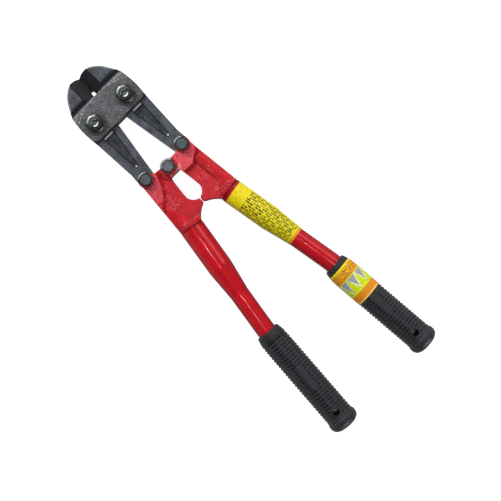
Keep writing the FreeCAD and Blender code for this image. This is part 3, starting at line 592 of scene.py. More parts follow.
def rubber(name, base, place, sizes):
    """Moulded black rubber, greyer on its raised faces, with painted shade in its grooves, in the fine
    outline round its panel and at its hang hole, and a painted highlight on its domed end.
    """
    finish = Finish(name)
    at = finish.place()
    along, across, up = finish.parts(finish.place(place))
    clouds = finish.noise(at, 7.0, detail=3)
    grit = finish.noise(at, 0.5, detail=3)
    dust = finish.noise(at, 2.2, detail=4, coarse=0.7)
    radius = distance(across, up)
    low = radius.falls(GRIP_RADIUS - 0.85 * MM, GRIP_RADIUS - 0.12 * MM)
    grooved = along.between(*GROOVED, 0.3 * MM)
    finish.mottle(clouds.rises(0.35, 0.65), base, 0.78, 1.25)
    finish.paint(dust.rises(0.52, 0.72) * 0.45, shaded(base, 2.4))
    crest = grooved * radius.rises(GRIP_RADIUS - 0.3 * MM, GRIP_RADIUS)
    finish.paint(crest * (0.05 + 0.35 * dust), shaded(base, 2.4))
    # Painted shade in the grooves
    finish.paint(grooved * low * 0.85, shaded(base, 0.12))
    half = sizes.panel_width / 2
    middle = sizes.panel_start + sizes.panel_length / 2
    finish.paint(along.falls(15 * MM, 18 * MM) * 0.8, shaded(base, 0.3))
    over = (abs(along - middle) - sizes.panel_length / 2 + half).most(0)
    round_end = distance(over, across)
    # Painted shade in the outline groove round the panel
    line = abs(round_end - half - 0.2 * MM).falls(0.3 * MM, 0.75 * MM) * up.rises(2 * MM, 6 * MM)
    finish.paint(line * 0.85, shaded(base, 0.12))
    # Painted highlight: a pale patch on the domed end
    rubbed_and_lit = along.between(124.8 * MM, 127.0 * MM, 1.6 * MM) * abs(across).falls(1 * MM, 9 * MM)
    rubbed_and_lit = rubbed_and_lit * up.rises(4 * MM, 8 * MM) * dust.rises(0.3, 0.6)
    finish.paint(rubbed_and_lit, colour(128, 132, 138))
    # Painted shade: near black round the hang hole's mouth
    hole = distance(along - HANG_HOLE_AT, across)
    finish.paint(hole.falls(4.0 * MM, 4.6 * MM), shaded(base, 0.05))
    normal = finish.bump(grit, 0.03, finish.bump(dust, 0.03))
    return finish.surface(
        Roughness=0.48 + dust * 0.15, Normal=normal, Specular_IOR_Level=0.45)


def label_space(finish, place, radius):
    """Distance along a label, and round it from its top line, in metres."""
    along, across, up = finish.parts(finish.place(place))
    turn = across.maths("ARCTAN2", up)
    return along, turn * radius


def tube_label_film(name, colours, place):
    """Yellow film with orange ends and rows of small generic bars."""
    finish = Finish(name)
    at = finish.place()
    along, around = label_space(finish, place, TUBE_RADIUS)
    start, end = TUBE_LABEL_START, TUBE_LABEL_END
    dirt = finish.noise(at, 3.0, detail=4)
    finish.mottle(dirt.rises(0.55, 0.75) * 0.25, colours.label, 1, 0.8)
    row = around * (1 / (2.7 * MM)) + 0.5
    row_number = row.whole()
    in_row = abs(row.fraction() - 0.5).falls(0.28, 0.38)
    ragged = finish.noise(finish.place(place, (1.3, 1.0, 1.0)), 0.95, detail=1)
    step = along * (1 / (13 * MM)) + row_number * 0.37
    in_word = abs(step.fraction() - 0.5).falls(0.40, 0.44)
    printed = along.between(start + 16 * MM, end - 4.5 * MM, 0.2 * MM)
    printed = printed * abs(around).falls(13.8 * MM, 14.2 * MM)
    marks = in_row * in_word * ragged.rises(0.42, 0.48) * printed
    finish.paint(marks, colours.ink)
    spots = finish.noise(at, 2.2, detail=2).rises(0.58, 0.64) * along.falls(start + 12 * MM, start + 15 * MM)
    finish.paint(spots * 0.75, colours.orange)
    ends = along.falls(start + 0.8 * MM, start + 1.1 * MM).most(along.rises(end - 3.0 * MM, end - 2.6 * MM))
    finish.paint(ends * 0.9, colours.orange)
    border = (around * -1).between(15.2 * MM, 16.4 * MM, 0.2 * MM)
    finish.paint(border * 0.9, colours.ink)
    wrinkle = finish.noise(finish.place(place, (5, 1, 1)), 4.0, detail=2)
    return finish.surface(
        Roughness=0.42 + dirt * 0.14, Normal=finish.bump(wrinkle, 0.04),
        Specular_IOR_Level=0.3)


def grip_label_film(name, colours, place):
    """Film in bands of yellow, orange and lime, with a row of plain grey and white triangles."""
    finish = Finish(name)
    at = finish.place()
    along, around = label_space(finish, place, GRIP_RADIUS)
    start, end = GRIP_LABEL_START, GRIP_LABEL_END
    into = (along - start) * (1 / MM)
    round_mm = around * (1 / MM)
    finish.shade = finish.blend(into.rises(12.2, 12.5), colours.orange, colours.lime)
    crumbs = finish.noise(at, 1.5, detail=3).rises(0.5, 0.58)
    finish.paint(crumbs * into.falls(6.0, 11.0) * 0.8, colours.label)
    finish.paint(into.falls(1.6, 1.9), colours.label)
    saw = abs((round_mm * (1 / 11.0)).fraction() - 0.5) * 2
    field = into.between(13.5, 29.5, 0.1)
    peak = (into - 13.5) * (1 / 16.0)
    white = (saw - peak).rises(-0.02, 0.02) * field
    finish.paint(white * 0.9, colour(240, 240, 226))
    grey = (saw - peak - 0.28).rises(-0.02, 0.02) * field
    finish.paint(grey * 0.9, colours.silver)
    specks = finish.noise(at, 1.3, detail=1).rises(0.56, 0.62) * into.between(2.5, 12, 0.3)
    specks = specks.most(finish.noise(at, 1.1, detail=1).rises(0.62, 0.68) * into.between(12.5, 30, 0.3))
    edges = (saw - peak - 0.28).between(-0.05, 0.0, 0.02) * field
    finish.paint(specks.most(edges) * 0.85, colours.ink)
    late = into.rises(30.8, 31.0)
    finish.paint(late, colours.orange)
    ribs = abs((into * (1 / 1.9)).fraction() - 0.5).falls(0.12, 0.34)
    finish.paint(late * ribs * 0.4, colour(206, 96, 10))
    end_mm = (end - start) / MM
    finish.paint(into.between(end_mm - 2.6, end_mm - 1.5, 0.15) * 0.8, colour(252, 236, 150))
    finish.paint(into.rises(end_mm - 1.4, end_mm - 1.2) * 0.9, colours.ink)
    dirt = finish.noise(at, 2.0, detail=4)
    finish.paint(dirt.rises(0.6, 0.75) * 0.3, colour(120, 96, 40))
    return finish.surface(
        Roughness=0.42 + dirt * 0.16, Normal=finish.bump(dirt, 0.03),
        Specular_IOR_Level=0.3)


def nylon(name, base):
    """Dull dark plastic, slightly cloudy."""
    finish = Finish(name)
    clouds = finish.noise(finish.place(), 1.0, detail=3)
    finish.mottle(clouds, base, 0.8, 1.25)
    return finish.surface(
        Roughness=0.42 + clouds * 0.1, Normal=finish.bump(clouds, 0.02), IOR=1.53)


# Mesh helpers

def whole_faces(node):
    """A copy of a CAD node's mesh with its points merged and its flat faces whole."""
    shape = bmesh.new()
    shape.from_mesh(frame["nodes"][node].data)
    bmesh.ops.remove_doubles(shape, verts=shape.verts, dist=0.001 * MM)
    bmesh.ops.dissolve_limit(
        shape, angle_limit=math.radians(0.5), verts=shape.verts, edges=shape.edges)
    return shape


def round_edges(shape, width, keep=None):
    """Rounds every sharp edge, except those that keep() names."""
    sharp = [
        e for e in shape.edges if e.is_manifold and e.calc_face_angle() > SHARP_ANGLE
        and not (keep and keep(e))]
    bmesh.ops.bevel(
        shape, geom=sharp, offset=width, offset_type="OFFSET", segments=3, profile=0.5,
        affect="EDGES", clamp_overlap=True, material=-1, loop_slide=True)


def linked(shape, name):
    """An object made of a bmesh, which is used up."""
    mesh = bpy.data.meshes.new(name)
    shape.to_mesh(mesh)
    shape.free()
    made = bpy.data.objects.new(name, mesh)
    bpy.context.scene.collection.objects.link(made)
    return made


def discard(made):
    """Removes an object and its mesh."""
    mesh = made.data
    bpy.data.objects.remove(made)
    bpy.data.meshes.remove(mesh)


def finished(shape, name, body, materials, replaces, even_normals=True):
    """Makes a piece of a bmesh, in place, and hands it to its body."""
    piece = linked(shape, name)
    piece.data.polygons.foreach_set("use_smooth", [True] * len(piece.data.polygons))
    for material in materials:
        piece.data.materials.append(material)
    if even_normals:
        piece.modifiers.new("Even normals", "WEIGHTED_NORMAL").weight = 90
    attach(piece, body)
    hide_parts(*replaces)
    return piece


def with_modifier(shape, kind, **settings):
    """A bmesh after one modifier; the given bmesh is used up."""
    holder = linked(shape, "in_work")
    modifier = holder.modifiers.new("work", kind)
    for name, value in settings.items():
        setattr(modifier, name, value)
    graph = bpy.context.evaluated_depsgraph_get()
    made = bpy.data.meshes.new_from_object(holder.evaluated_get(graph))
    after = bmesh.new()
    after.from_mesh(made)
    discard(holder)
    bpy.data.meshes.remove(made)
    return after


def turned(profile, steps, closed=False, angle=math.tau, turn_from=0.0):
    """Profile of (distance, radius) points turned about the X axis, starting at an angle from the top."""
    shape = bmesh.new()
    points = [shape.verts.new((x, 0, radius)) for x, radius in profile]
    pairs = list(zip(points, points[1:] + points[:1] if closed else points[1:]))
    edges = [shape.edges.new(pair) for pair in pairs]
    if closed:
        shape.faces.new(points)
    bmesh.ops.rotate(shape, cent=(0, 0, 0), matrix=Matrix.Rotation(turn_from, 3, "X"), verts=points)
    bmesh.ops.spin(
        shape, geom=points + edges + list(shape.faces), cent=(0, 0, 0), axis=(1, 0, 0), angle=angle,
        steps=steps, use_merge=not closed, use_duplicate=False)
    bmesh.ops.remove_doubles(shape, verts=shape.verts, dist=0.002 * MM)
    bmesh.ops.recalc_face_normals(shape, faces=shape.faces)
    return shape


def smoothed_step(value, low, high):
    share = min(max((value - low) / (high - low), 0.0), 1.0)
    return share * share * (3 - 2 * share)


def grip_place(side):
    """Frame on a grip's axis: X along it from the bend, Z up."""
    hole = MOUNTS[side + "_hang_hole"]
    turn = Matrix.Rotation(SIDES[side] * GRIP_SPLAY, 4, "Z")
    return Matrix.Translation(hole) @ turn @ Matrix.Translation((-HANG_HOLE_AT, 0, 0))


def tube_place(side):
    """Frame on a handle's first axis: X along it from beside the centre pivot, Z up."""
    bend = Matrix.Rotation(SIDES[side] * (HANDLE_SPLAY - GRIP_SPLAY), 4, "Z")
    return grip_place(side) @ bend @ Matrix.Translation((-BEND_AT, 0, 0))


def tube_radius(along):
    """Outer radius of a tube along its first axis, with the swage's two corners eased."""
    def sharp(at):
        share = min(max((at - SWAGE_START) / (SWAGE_END - SWAGE_START), 0.0), 1.0)
        return TUBE_RADIUS + (TUBE_SLIM_RADIUS - TUBE_RADIUS) * share
    return sum(sharp(along + step * 0.35 * MM) for step in range(-3, 4)) / 7


# Operators

class BoltCuttersPiece:
    """Shared settings of the operators."""
    bl_options = {"REGISTER"}


class BOLTCUTTERS_OT_blades(BoltCuttersPiece, bpy.types.Operator):
    """Both blades: forged, blackened, with ground cutting bevels and rough pockets"""
    bl_idname = "bolt_cutters.blades"
    bl_label = "Blades"

    def execute(self, context):
        settings = context.scene.bolt_cutters
        colours = settings.colours
        pivots = BLADE_PIVOT["left"].x
        finishes = [
            # Painted shadow bands beside the plates, and a painted highlight on the pocket's rib
            forged_steel("forged_blade_steel", colours.blade, contrast=1.5, shadow_bands=[
                (pivots - 30.5 * MM, pivots - 26 * MM, pivots - 20 * MM),
                (pivots + 9 * MM, pivots + 10 * MM, pivots + 15 * MM)], highlight_spots=[
                (pivots + 16.6 * MM, 1.4 * MM, 20.6 * MM, 6.0 * MM)]),
            ground_steel("ground_cutting_edge", colours.ground),
            # Painted highlight at the pocket's narrow end
            forged_steel(
                "pocket_floor", colours.pocket, rough=0.62, scale_size=1.5, scale_depth=0.28, contrast=2.3,
                highlight_spots=[(pivots + 59.0 * MM, 1.5 * MM, 22.9 * MM, 1.4 * MM)]),
            forged_steel(
                "pocket_shade", shaded(colours.ground, 0.35), rough=0.7, scale_size=1.2, scale_depth=0.1,
                contrast=0.6),
            forged_steel("lit_rim", colours.rim, rough=0.4, contrast=0.8),
        ]
        for side, sign in SIDES.items():
            shape = whole_faces(side + "_blade")
            for face in shape.faces:
                middle, normal = face.calc_center_median(), face.normal
                along, height = middle.x - pivots, abs(middle.z - MID_HEIGHT)
                near_edge = abs(middle.y) < 14.5 * MM and along < JAWS_BEFORE
                if near_edge and 0.2 < abs(normal.z) < 0.97 and abs(normal.y) > 0.3:
                    face.material_index = GROUND
                # Chamfers above the rim height get the painted highlight
                elif 0.4 < abs(normal.z) < 0.97 and along < RIM_BEFORE and abs(normal.x) > 0.2:
                    face.material_index = LIT_RIM if height > RIM_HEIGHT else SCALE
                in_tail = TAIL[0] < along < TAIL[1]
                sunk = POCKET_DEPTH[0] < BLADE_HALF_THICKNESS - height < POCKET_DEPTH[1]
                if in_tail and sunk and abs(normal.z) > 0.9:
                    face.material_index = POCKET_FLOOR
            floors = [
                f for f in shape.faces
                if f.material_index == POCKET_FLOOR and f.calc_area() > SMALLEST_FLOOR]
            # Painted shade: a near-black ring round each pocket floor, beside its walls
            walls = bmesh.ops.inset_individual(
                shape, faces=floors, thickness=POCKET_SHADE_WIDTH, use_even_offset=True)
            for face in walls["faces"]:
                face.material_index = POCKET_SHADE
            mouth = [v for v in shape.verts if v.co.x < pivots + MOUTH_BEFORE]
            line = min(v.co.y * sign for v in mouth)
            for vert in mouth:
                if vert.co.y * sign < line + 0.01 * MM:
                    vert.co.y -= sign * EDGE_MEETS
            edge = {v for v in mouth if v.co.y * sign < line}
            round_edges(shape, settings.edges.blade, keep=lambda e: bool(edge & set(e.verts)))
            finished(
                shape, side + "_forged_blade", side + "_jaw", finishes, [side + "_blade"])
        return {"FINISHED"}


class BOLTCUTTERS_OT_link_plates(BoltCuttersPiece, bpy.types.Operator):
    """The two plates that join the blades"""
    bl_idname = "bolt_cutters.link_plates"
    bl_label = "Link plates"

    def execute(self, context):
        settings = context.scene.bolt_cutters
        front = min(v.co.x for v in frame["nodes"]["upper_link_plate"].data.vertices)
        # The plates get painted highlight specks along their curved bevel and painted shadow round the nuts
        finish = forged_steel(
            "phosphated_plate", settings.colours.plate, rough=0.46, scale_size=1.1, scale_depth=0.05,
            contrast=1.25, metal=0.45, bevel_arc=((front + PLATE_BEVEL_RADIUS, 0, 0), PLATE_BEVEL_RADIUS))
        for level in ("upper", "lower"):
            shape = whole_faces(level + "_link_plate")
            round_edges(shape, settings.edges.plate)
            finished(
                shape, level + "_pressed_plate", "plates", [finish], [level + "_link_plate"])
        return {"FINISHED"}


class BOLTCUTTERS_OT_blade_bolts(BoltCuttersPiece, bpy.types.Operator):
    """Blade bolts, their lock nuts and the nuts' nylon rings"""
    bl_idname = "bolt_cutters.blade_bolts"
    bl_label = "Blade bolts"

    def execute(self, context):
        settings = context.scene.bolt_cutters
        colours = settings.colours
        # Painted highlights on the nut's chamfer and collar and on the bolt's end
        nut = fastener_steel("black_nut_steel", colours.bolt, PLATE_BOLTS, 4 * MM, [
            (7.2 * MM, 9.2 * MM, -1, 0.74, 0.9), (5.6 * MM, 6.2 * MM, -1, 0.1, 0.5),
            (8.4 * MM, 9.6 * MM, 1, 0.95, 0.7)])
        bolt = fastener_steel("black_bolt_steel", colours.bolt, PLATE_BOLTS, 2 * MM, [
            (2.2 * MM, 3.9 * MM, 1, 0.45, 0.9), (3.3 * MM, 4.1 * MM, -1, 0.3, 0.45)])
        ring = nylon("locking_nylon", colours.nylon)
        for side in SIDES:
            for node, name, slot, material, width in (
                    ("_blade_bolt", "_hex_blade_bolt", "bolt_steel", bolt, settings.edges.fastener),
                    ("_lock_nut", "_collar_lock_nut", "bolt_steel", nut, settings.edges.collar),
                    ("_nylon_ring", "_locking_ring", "nylon", ring, settings.edges.fastener)):
                shape = whole_faces(side + node)
                if node == "_blade_bolt":
                    self.dish_end(shape)
                round_edges(shape, width)
                finished(shape, side + name, "plates", [material], [side + node])
        return {"FINISHED"}

    @staticmethod
    def dish_end(shape):
        """Hollows the bolt's end a little."""
        highest = max(v.co.z for v in shape.verts)
        end = [
            f for f in shape.faces
            if f.normal.z > 0.99 and f.calc_center_median().z > highest - 0.01 * MM]
        for inward, sunk in ((0.4, 0.0), (1.0, 0.7), (1.0, 0.35)):
            bmesh.ops.inset_region(shape, faces=end, thickness=inward * MM, depth=-sunk * MM)


class BOLTCUTTERS_OT_pivot_bolts(BoltCuttersPiece, bpy.types.Operator):
    """Bolts, washers and nuts of the centre pivot and of the two link pivots"""
    bl_idname = "bolt_cutters.pivot_bolts"
    bl_label = "Pivot bolts"

    def execute(self, context):
        settings = context.scene.bolt_cutters
        colours = settings.colours
        centre, links = [CENTRE_PIVOT], tuple(LINK_PIVOT.values())
        # Painted highlights on the washers' rims
        finishes = {
            "pivot_bolt": fastener_steel("black_pivot_steel", colours.washer, centre, 5.0 * MM, corner_at=30),
            "link_bolt": fastener_steel("black_link_steel", colours.bolt, links, 4.9 * MM),
            "pivot_washer": fastener_steel(
                "plated_pivot_washer", colours.washer, centre, 5 * MM, [(6.6 * MM, 9.2 * MM, -1, 0.5, 0.6)],
                painted=colours.head),
            "link_washer": fastener_steel(
                "plated_link_washer", colours.washer, links, 5 * MM, [(7.6 * MM, 8.6 * MM, -1, 0.8, 0.95)],
                painted=colours.head)}
        finishes["pivot_nut"] = finishes["pivot_bolt"]
        finishes["link_nut"] = finishes["link_bolt"]
        bodies = {"pivot_bolt": "left_handle", "pivot_nut": "left_handle", "pivot_washer": "right_handle"}
        for side in SIDES:
            for part in ("bolt", "nut", "washer"):
                bodies[f"{side}_link_{part}"] = side + "_handle"
        for node, body in bodies.items():
            shape = whole_faces(node)
            is_washer = node.endswith("washer")
            round_edges(shape, settings.edges.washer if is_washer else settings.edges.fastener)
            name = ("plated_" if is_washer else "hex_") + node
            finish = finishes[node.removeprefix("left_").removeprefix("right_")]
            finished(shape, name, body, [finish], [node])
        return {"FINISHED"}


class BOLTCUTTERS_OT_handle_heads(BoltCuttersPiece, bpy.types.Operator):
    """The two forged handle heads, softened and roughened under their red paint"""
    bl_idname = "bolt_cutters.handle_heads"
    bl_label = "Handle heads"

    def execute(self, context):
        settings = context.scene.bolt_cutters
        sizes = settings.forging
        for side in SIDES:
            shape = whole_faces(side + "_handle_head")
            bmesh.ops.triangulate(shape, faces=shape.faces)
            shape = with_modifier(shape, "REMESH", mode="VOXEL", voxel_size=sizes.grain, adaptivity=0.0)
            self.soften(shape, shape.verts, sizes.passes)
            onto_axis = tube_place(side).inverted()
            root = [v for v in shape.verts if 41 * MM < (onto_axis @ v.co).x < 59 * MM]
            self.soften(shape, root, sizes.root_passes)
            shape.normal_update()
            self.roughen(shape, side, sizes)
            self.note_bulges(shape, sizes.grain)
            # The left forging gets less painted sheen on its pads
            pad = shaded(settings.colours.pad, 1.0 if side == "right" else 0.8)
            paint = forged_paint(side + "_forging_paint", settings.colours.head, pad, tube_place(side))
            finished(shape, side + "_painted_forging", side + "_handle", [paint],
                     [side + "_handle_head"], even_normals=False)
        return {"FINISHED"}

    @staticmethod
    def soften(shape, verts, passes):
        for _ in range(passes):
            bmesh.ops.smooth_vert(
                shape, verts=verts, factor=0.5, use_axis_x=True, use_axis_y=True, use_axis_z=True)

    @staticmethod
    def roughen(shape, side, sizes):
        """Forging scale everywhere that nothing turns, and crimping marks at the shank's end."""
        onto_axis = tube_place(side).inverted()
        seats = [CENTRE_PIVOT, LINK_PIVOT[side]]
        moves = []
        for vert in shape.verts:
            at = vert.co
            clear = min((at - seat).xy.length for seat in seats)
            free = smoothed_step(clear, 8.4 * MM, 10 * MM)
            free *= smoothed_step(abs(at.z - MID_HEIGHT), 0.3 * MM, 1.2 * MM)
            lumps = noise.noise(at / (4.5 * MM)) * 0.7 + noise.noise(at / (1.7 * MM)) * 0.5
            local = onto_axis @ at
            crimp = smoothed_step(local.x, 50 * MM, 55 * MM) * (1 - smoothed_step(local.x, 58 * MM, 60 * MM))
            pits = smoothed_step(noise.noise(at / (1.5 * MM) + Vector((7, 3, 1))), 0.12, 0.45)
            drop = free * (0.5 - 0.5 * lumps) * sizes.scale_depth + crimp * pits * sizes.crimp_depth
            moves.append((vert, vert.normal * drop))
        for vert, move in moves:
            vert.co -= move

    @staticmethod
    def note_bulges(shape, grain):
        """Keeps how far each point bulges from its neighbours, from 0 in a hollow to 1 on an edge."""
        layer = shape.verts.layers.float.new("bulge")
        found = {}
        for vert in shape.verts:
            around = [edge.other_vert(vert).co for edge in vert.link_edges]
            middle = sum(around, Vector()) / len(around)
            found[vert] = (vert.co - middle).dot(vert.normal) / grain
        for _ in range(3):
            found = {
                vert: (found[vert] + sum(found[e.other_vert(vert)] for e in vert.link_edges))
                / (1 + len(vert.link_edges)) for vert in shape.verts}
        for vert, value in found.items():
            vert[layer] = min(max(0.5 + value * 5.0, 0.0), 1.0)


class BOLTCUTTERS_OT_tubes(BoltCuttersPiece, bpy.types.Operator):
    """The two red handle tubes with their swage and bend"""
    bl_idname = "bolt_cutters.tubes"
    bl_label = "Handle tubes"

    def execute(self, context):
        settings = context.scene.bolt_cutters
        for side in SIDES:
            shape = self.tube(side)
            paint = tube_paint(
                side + "_tube_paint", settings.colours.tube, tube_place(side), labelled=side == "right")
            finished(shape, side + "_painted_tube", side + "_handle", [paint], [side + "_tube"],
                     even_normals=False)
        return {"FINISHED"}

    @staticmethod
    def stations(side):
        """Frames along the tube and the outer radius at each."""
        first, second = tube_place(side), grip_place(side)
        tangent = BEND_RADIUS * math.tan((HANDLE_SPLAY - GRIP_SPLAY) / 2)
        chamfer = 0.5 * MM
        along = [SHANK_END, SHANK_END + chamfer, SHANK_END + 1.2 * MM, SWAGE_START - 30 * MM]
        along += [SWAGE_START + step * 0.4 * MM for step in range(-4, 5)]
        along += [SWAGE_START + 12 * MM, SWAGE_END - 10 * MM]
        along += [SWAGE_END + step * 0.4 * MM for step in range(-4, 5)]
        along += [BEND_AT - tangent - 18 * MM, BEND_AT - tangent]
        made = [(first @ Matrix.Translation((x, 0, 0)), tube_radius(x)) for x in along]
        made[0] = (made[0][0], made[0][1] - chamfer)
        start = made[-1][0]
        centre = start @ Vector((0, -SIDES[side] * BEND_RADIUS, 0))
        for step in range(1, 6):
            turn = Matrix.Rotation(-SIDES[side] * (HANDLE_SPLAY - GRIP_SPLAY) * step / 6, 4, "Z")
            bent = Matrix.Translation(centre) @ turn @ Matrix.Translation(-centre) @ start
            made.append((bent, TUBE_SLIM_RADIUS))
        for x in (tangent, 40 * MM, TUBE_AFTER_BEND):
            made.append((second @ Matrix.Translation((x, 0, 0)), TUBE_SLIM_RADIUS))
        return made

    def tube(self, side):
        """Outer skin along the stations, inner skin back, joined at both ends."""
        outer = self.stations(side)
        inner = [(place, radius - TUBE_WALL) for place, radius in reversed(outer)]
        facing = Matrix.Rotation(math.pi / 2, 4, "Y")
        shape = bmesh.new()
        bmesh.ops.create_circle(shape, segments=80, radius=1)
        first_edges = list(shape.edges)
        edges, last = first_edges, Matrix.Identity(4)
        for place, radius in outer + inner:
            wanted = place @ facing @ Matrix.Scale(radius, 4)
            if last != Matrix.Identity(4):
                made = bmesh.ops.extrude_edge_only(shape, edges=edges)["geom"]
                verts = {g for g in made if isinstance(g, bmesh.types.BMVert)}
                edges = [g for g in made if isinstance(g, bmesh.types.BMEdge) and set(g.verts) <= verts]
            else:
                verts = set(shape.verts)
            bmesh.ops.transform(shape, matrix=wanted @ last.inverted(), verts=list(verts))
            last = wanted
        bmesh.ops.bridge_loops(shape, edges=first_edges + edges)
        bmesh.ops.recalc_face_normals(shape, faces=shape.faces)
        return shape


class BOLTCUTTERS_OT_grips(BoltCuttersPiece, bpy.types.Operator):
    """The two grooved rubber grips"""
    bl_idname = "bolt_cutters.grips"
    bl_label = "Grips"

    def execute(self, context):
        settings = context.scene.bolt_cutters
        for side in SIDES:
            shape = self.sleeve()
            self.mould(shape, settings.grip)
            shape = self.pierced(shape)
            bmesh.ops.transform(shape, matrix=grip_place(side), verts=shape.verts)
            finish = rubber(
                side + "_grip_rubber", settings.colours.rubber, grip_place(side), settings.grip)
            finished(
                shape, side + "_grooved_grip", side + "_handle", [finish],
                [side + "_grip"], even_normals=False)
        return {"FINISHED"}

    @staticmethod
    def sleeve():
        """The grip's turned body, from the end of its bore round the lip to the middle of its end."""
        bore = TUBE_SLIM_RADIUS + LABEL_PLAY
        flange = [
            (118.2, 15), (119.2, 16), (123.6, 16), (127.2, 14.3), (129.4, 10.5), (129.95, 5), (130.05, 0)]
        profile = [
            (TUBE_AFTER_BEND, 0), (TUBE_AFTER_BEND, bore), (GRIP_START, bore), (GRIP_START, GRIP_LIP_RADIUS),
            (GRIP_START + 0.9 * MM, GRIP_LIP_RADIUS + 0.9 * MM), *GRIP_SHOULDER,
            *((x * MM, radius * MM) for x, radius in flange)]
        shape = turned(profile, 144)
        rings = [
            e for e in shape.edges if e.is_manifold and e.calc_face_angle() > math.radians(6)
            and abs(e.verts[0].co.x - e.verts[1].co.x) < 0.01 * MM
            and e.verts[0].co.yz.length > 11.5 * MM]
        bmesh.ops.bevel(
            shape, geom=rings, offset=0.8 * MM, offset_type="OFFSET", segments=3, profile=0.5,
            affect="EDGES", clamp_overlap=True, material=-1)
        for low, high, cuts in ((14 * MM, 21 * MM, 14), (20 * MM, 119 * MM, 250)):
            runs = [
                e for e in shape.edges
                if abs(e.verts[0].co.x - e.verts[1].co.x) > (high - low) * 0.6
                and low < min(v.co.x for v in e.verts) and max(v.co.x for v in e.verts) < high
                and e.verts[0].co.yz.length > 14.4 * MM]
            bmesh.ops.subdivide_edges(shape, edges=runs, cuts=cuts, use_grid_fill=True)
        return shape

    @staticmethod
    def mould(shape, sizes):
        """Sinks the grooves and the panel's outline."""
        last = sizes.first_groove + sizes.pitch * (sizes.grooves - 1)
        for vert in shape.verts:
            along = vert.co.x
            radius = vert.co.yz.length
            if radius < 14 * MM or not 14 * MM < along < GROOVED[1]:
                continue
            aside = abs(vert.co.y)
            place = (along - sizes.first_groove) / sizes.pitch
            nearest = min(max(round(place), 0), sizes.grooves - 1)
            off = abs(place - nearest) * sizes.pitch
            trench = 1 - smoothed_step(off, sizes.groove_width * 0.24, sizes.groove_width * 0.6)
            soft = 0.5 * MM
            top = smoothed_step(aside, sizes.ridge / 2, sizes.ridge / 2 + soft) * (
                1 - smoothed_step(aside, sizes.slot_end - soft, sizes.slot_end))
            flank = smoothed_step(aside, sizes.slot_end + sizes.rib, sizes.slot_end + sizes.rib + soft)
            half = sizes.panel_width / 2
            mid = sizes.panel_start + sizes.panel_length / 2
            over = max(abs(along - mid) - sizes.panel_length / 2 + half, 0.0)
            edge = math.hypot(over, aside) - half
            outside = smoothed_step(edge, 0.2 * MM, 0.8 * MM)
            outline = 1 - smoothed_step(abs(edge), 0.15 * MM, 0.55 * MM)
            hole = smoothed_step(math.hypot(along - HANG_HOLE_AT, aside), 5.2 * MM, 5.8 * MM)
            groove = max(top, flank * 0.72) * trench * outside * hole
            depth = groove * sizes.groove_depth + outline * 0.45 * MM
            scale = (radius - depth) / radius
            vert.co.y *= scale
            vert.co.z *= scale

    @staticmethod
    def pierced(shape):
        """Cuts the hang hole, with a soft mouth at each end."""
        cutter = bmesh.new()
        upper = [
            (13.6 * MM, HANG_HOLE_RADIUS), (14.6 * MM, 3.7 * MM), (15.6 * MM, 4.6 * MM),
            (17 * MM, 5.2 * MM), (17 * MM, 0)]
        profile = [(-z, radius) for z, radius in reversed(upper)] + upper
        points = [cutter.verts.new((radius, 0, z)) for z, radius in profile]
        edges = [cutter.edges.new(pair) for pair in zip(points, points[1:])]
        bmesh.ops.spin(
            cutter, geom=points + edges, cent=(0, 0, 0), axis=(0, 0, 1), angle=math.tau, steps=40,
            use_merge=True, use_duplicate=False)
        bmesh.ops.remove_doubles(cutter, verts=cutter.verts, dist=0.002 * MM)
        bmesh.ops.recalc_face_normals(cutter, faces=cutter.faces)
        bmesh.ops.translate(cutter, verts=cutter.verts, vec=(HANG_HOLE_AT, 0, 0))
        tool = linked(cutter, "hole_cutter")
        cut = with_modifier(shape, "BOOLEAN", operation="DIFFERENCE", solver="EXACT", object=tool)
        discard(tool)
        return cut


class BOLTCUTTERS_OT_tube_label(BoltCuttersPiece, bpy.types.Operator):
    """The yellow label round the right tube"""
    bl_idname = "bolt_cutters.tube_label"
    bl_label = "Tube label"

    def execute(self, context):
        settings = context.scene.bolt_cutters
        steps = 40
        length = TUBE_LABEL_END - TUBE_LABEL_START
        stations = [TUBE_LABEL_START + length * step / steps for step in range(steps + 1)]
        place = tube_place("right")
        shape = wrapped_film([(x, tube_radius(x)) for x in stations], place)
        film = tube_label_film("tube_label_print", settings.colours, place)
        finished(shape, "wrapped_tube_label", "right_handle", [film], ["tube_label"])
        return {"FINISHED"}


class BOLTCUTTERS_OT_grip_label(BoltCuttersPiece, bpy.types.Operator):
    """The printed band round the right grip, sagging a little into its grooves"""
    bl_idname = "bolt_cutters.grip_label"
    bl_label = "Grip label"

    def execute(self, context):
        settings = context.scene.bolt_cutters
        sizes = settings.grip
        steps = 150
        corners = [*GRIP_SHOULDER, (60 * MM, GRIP_RADIUS)]
        surface = []
        for step in range(steps + 1):
            x = GRIP_LABEL_START + (GRIP_LABEL_END - GRIP_LABEL_START) * step / steps
            low, high = next(
                (a, b) for a, b in zip(corners, corners[1:]) if a[0] <= x + 1e-9 <= b[0])
            radius = low[1] + (high[1] - low[1]) * (x - low[0]) / (high[0] - low[0])
            place = (x - sizes.first_groove) / sizes.pitch
            off = abs(place - max(round(place), 0)) * sizes.pitch
            sag = 1 - smoothed_step(off, 0, sizes.groove_width * 0.4)
            surface.append((x, radius - sag * 0.12 * MM))
        place = grip_place("right")
        shape = wrapped_film(surface, place)
        film = grip_label_film("grip_label_print", settings.colours, place)
        finished(shape, "wrapped_grip_label", "right_handle", [film], ["grip_label"])
        return {"FINISHED"}


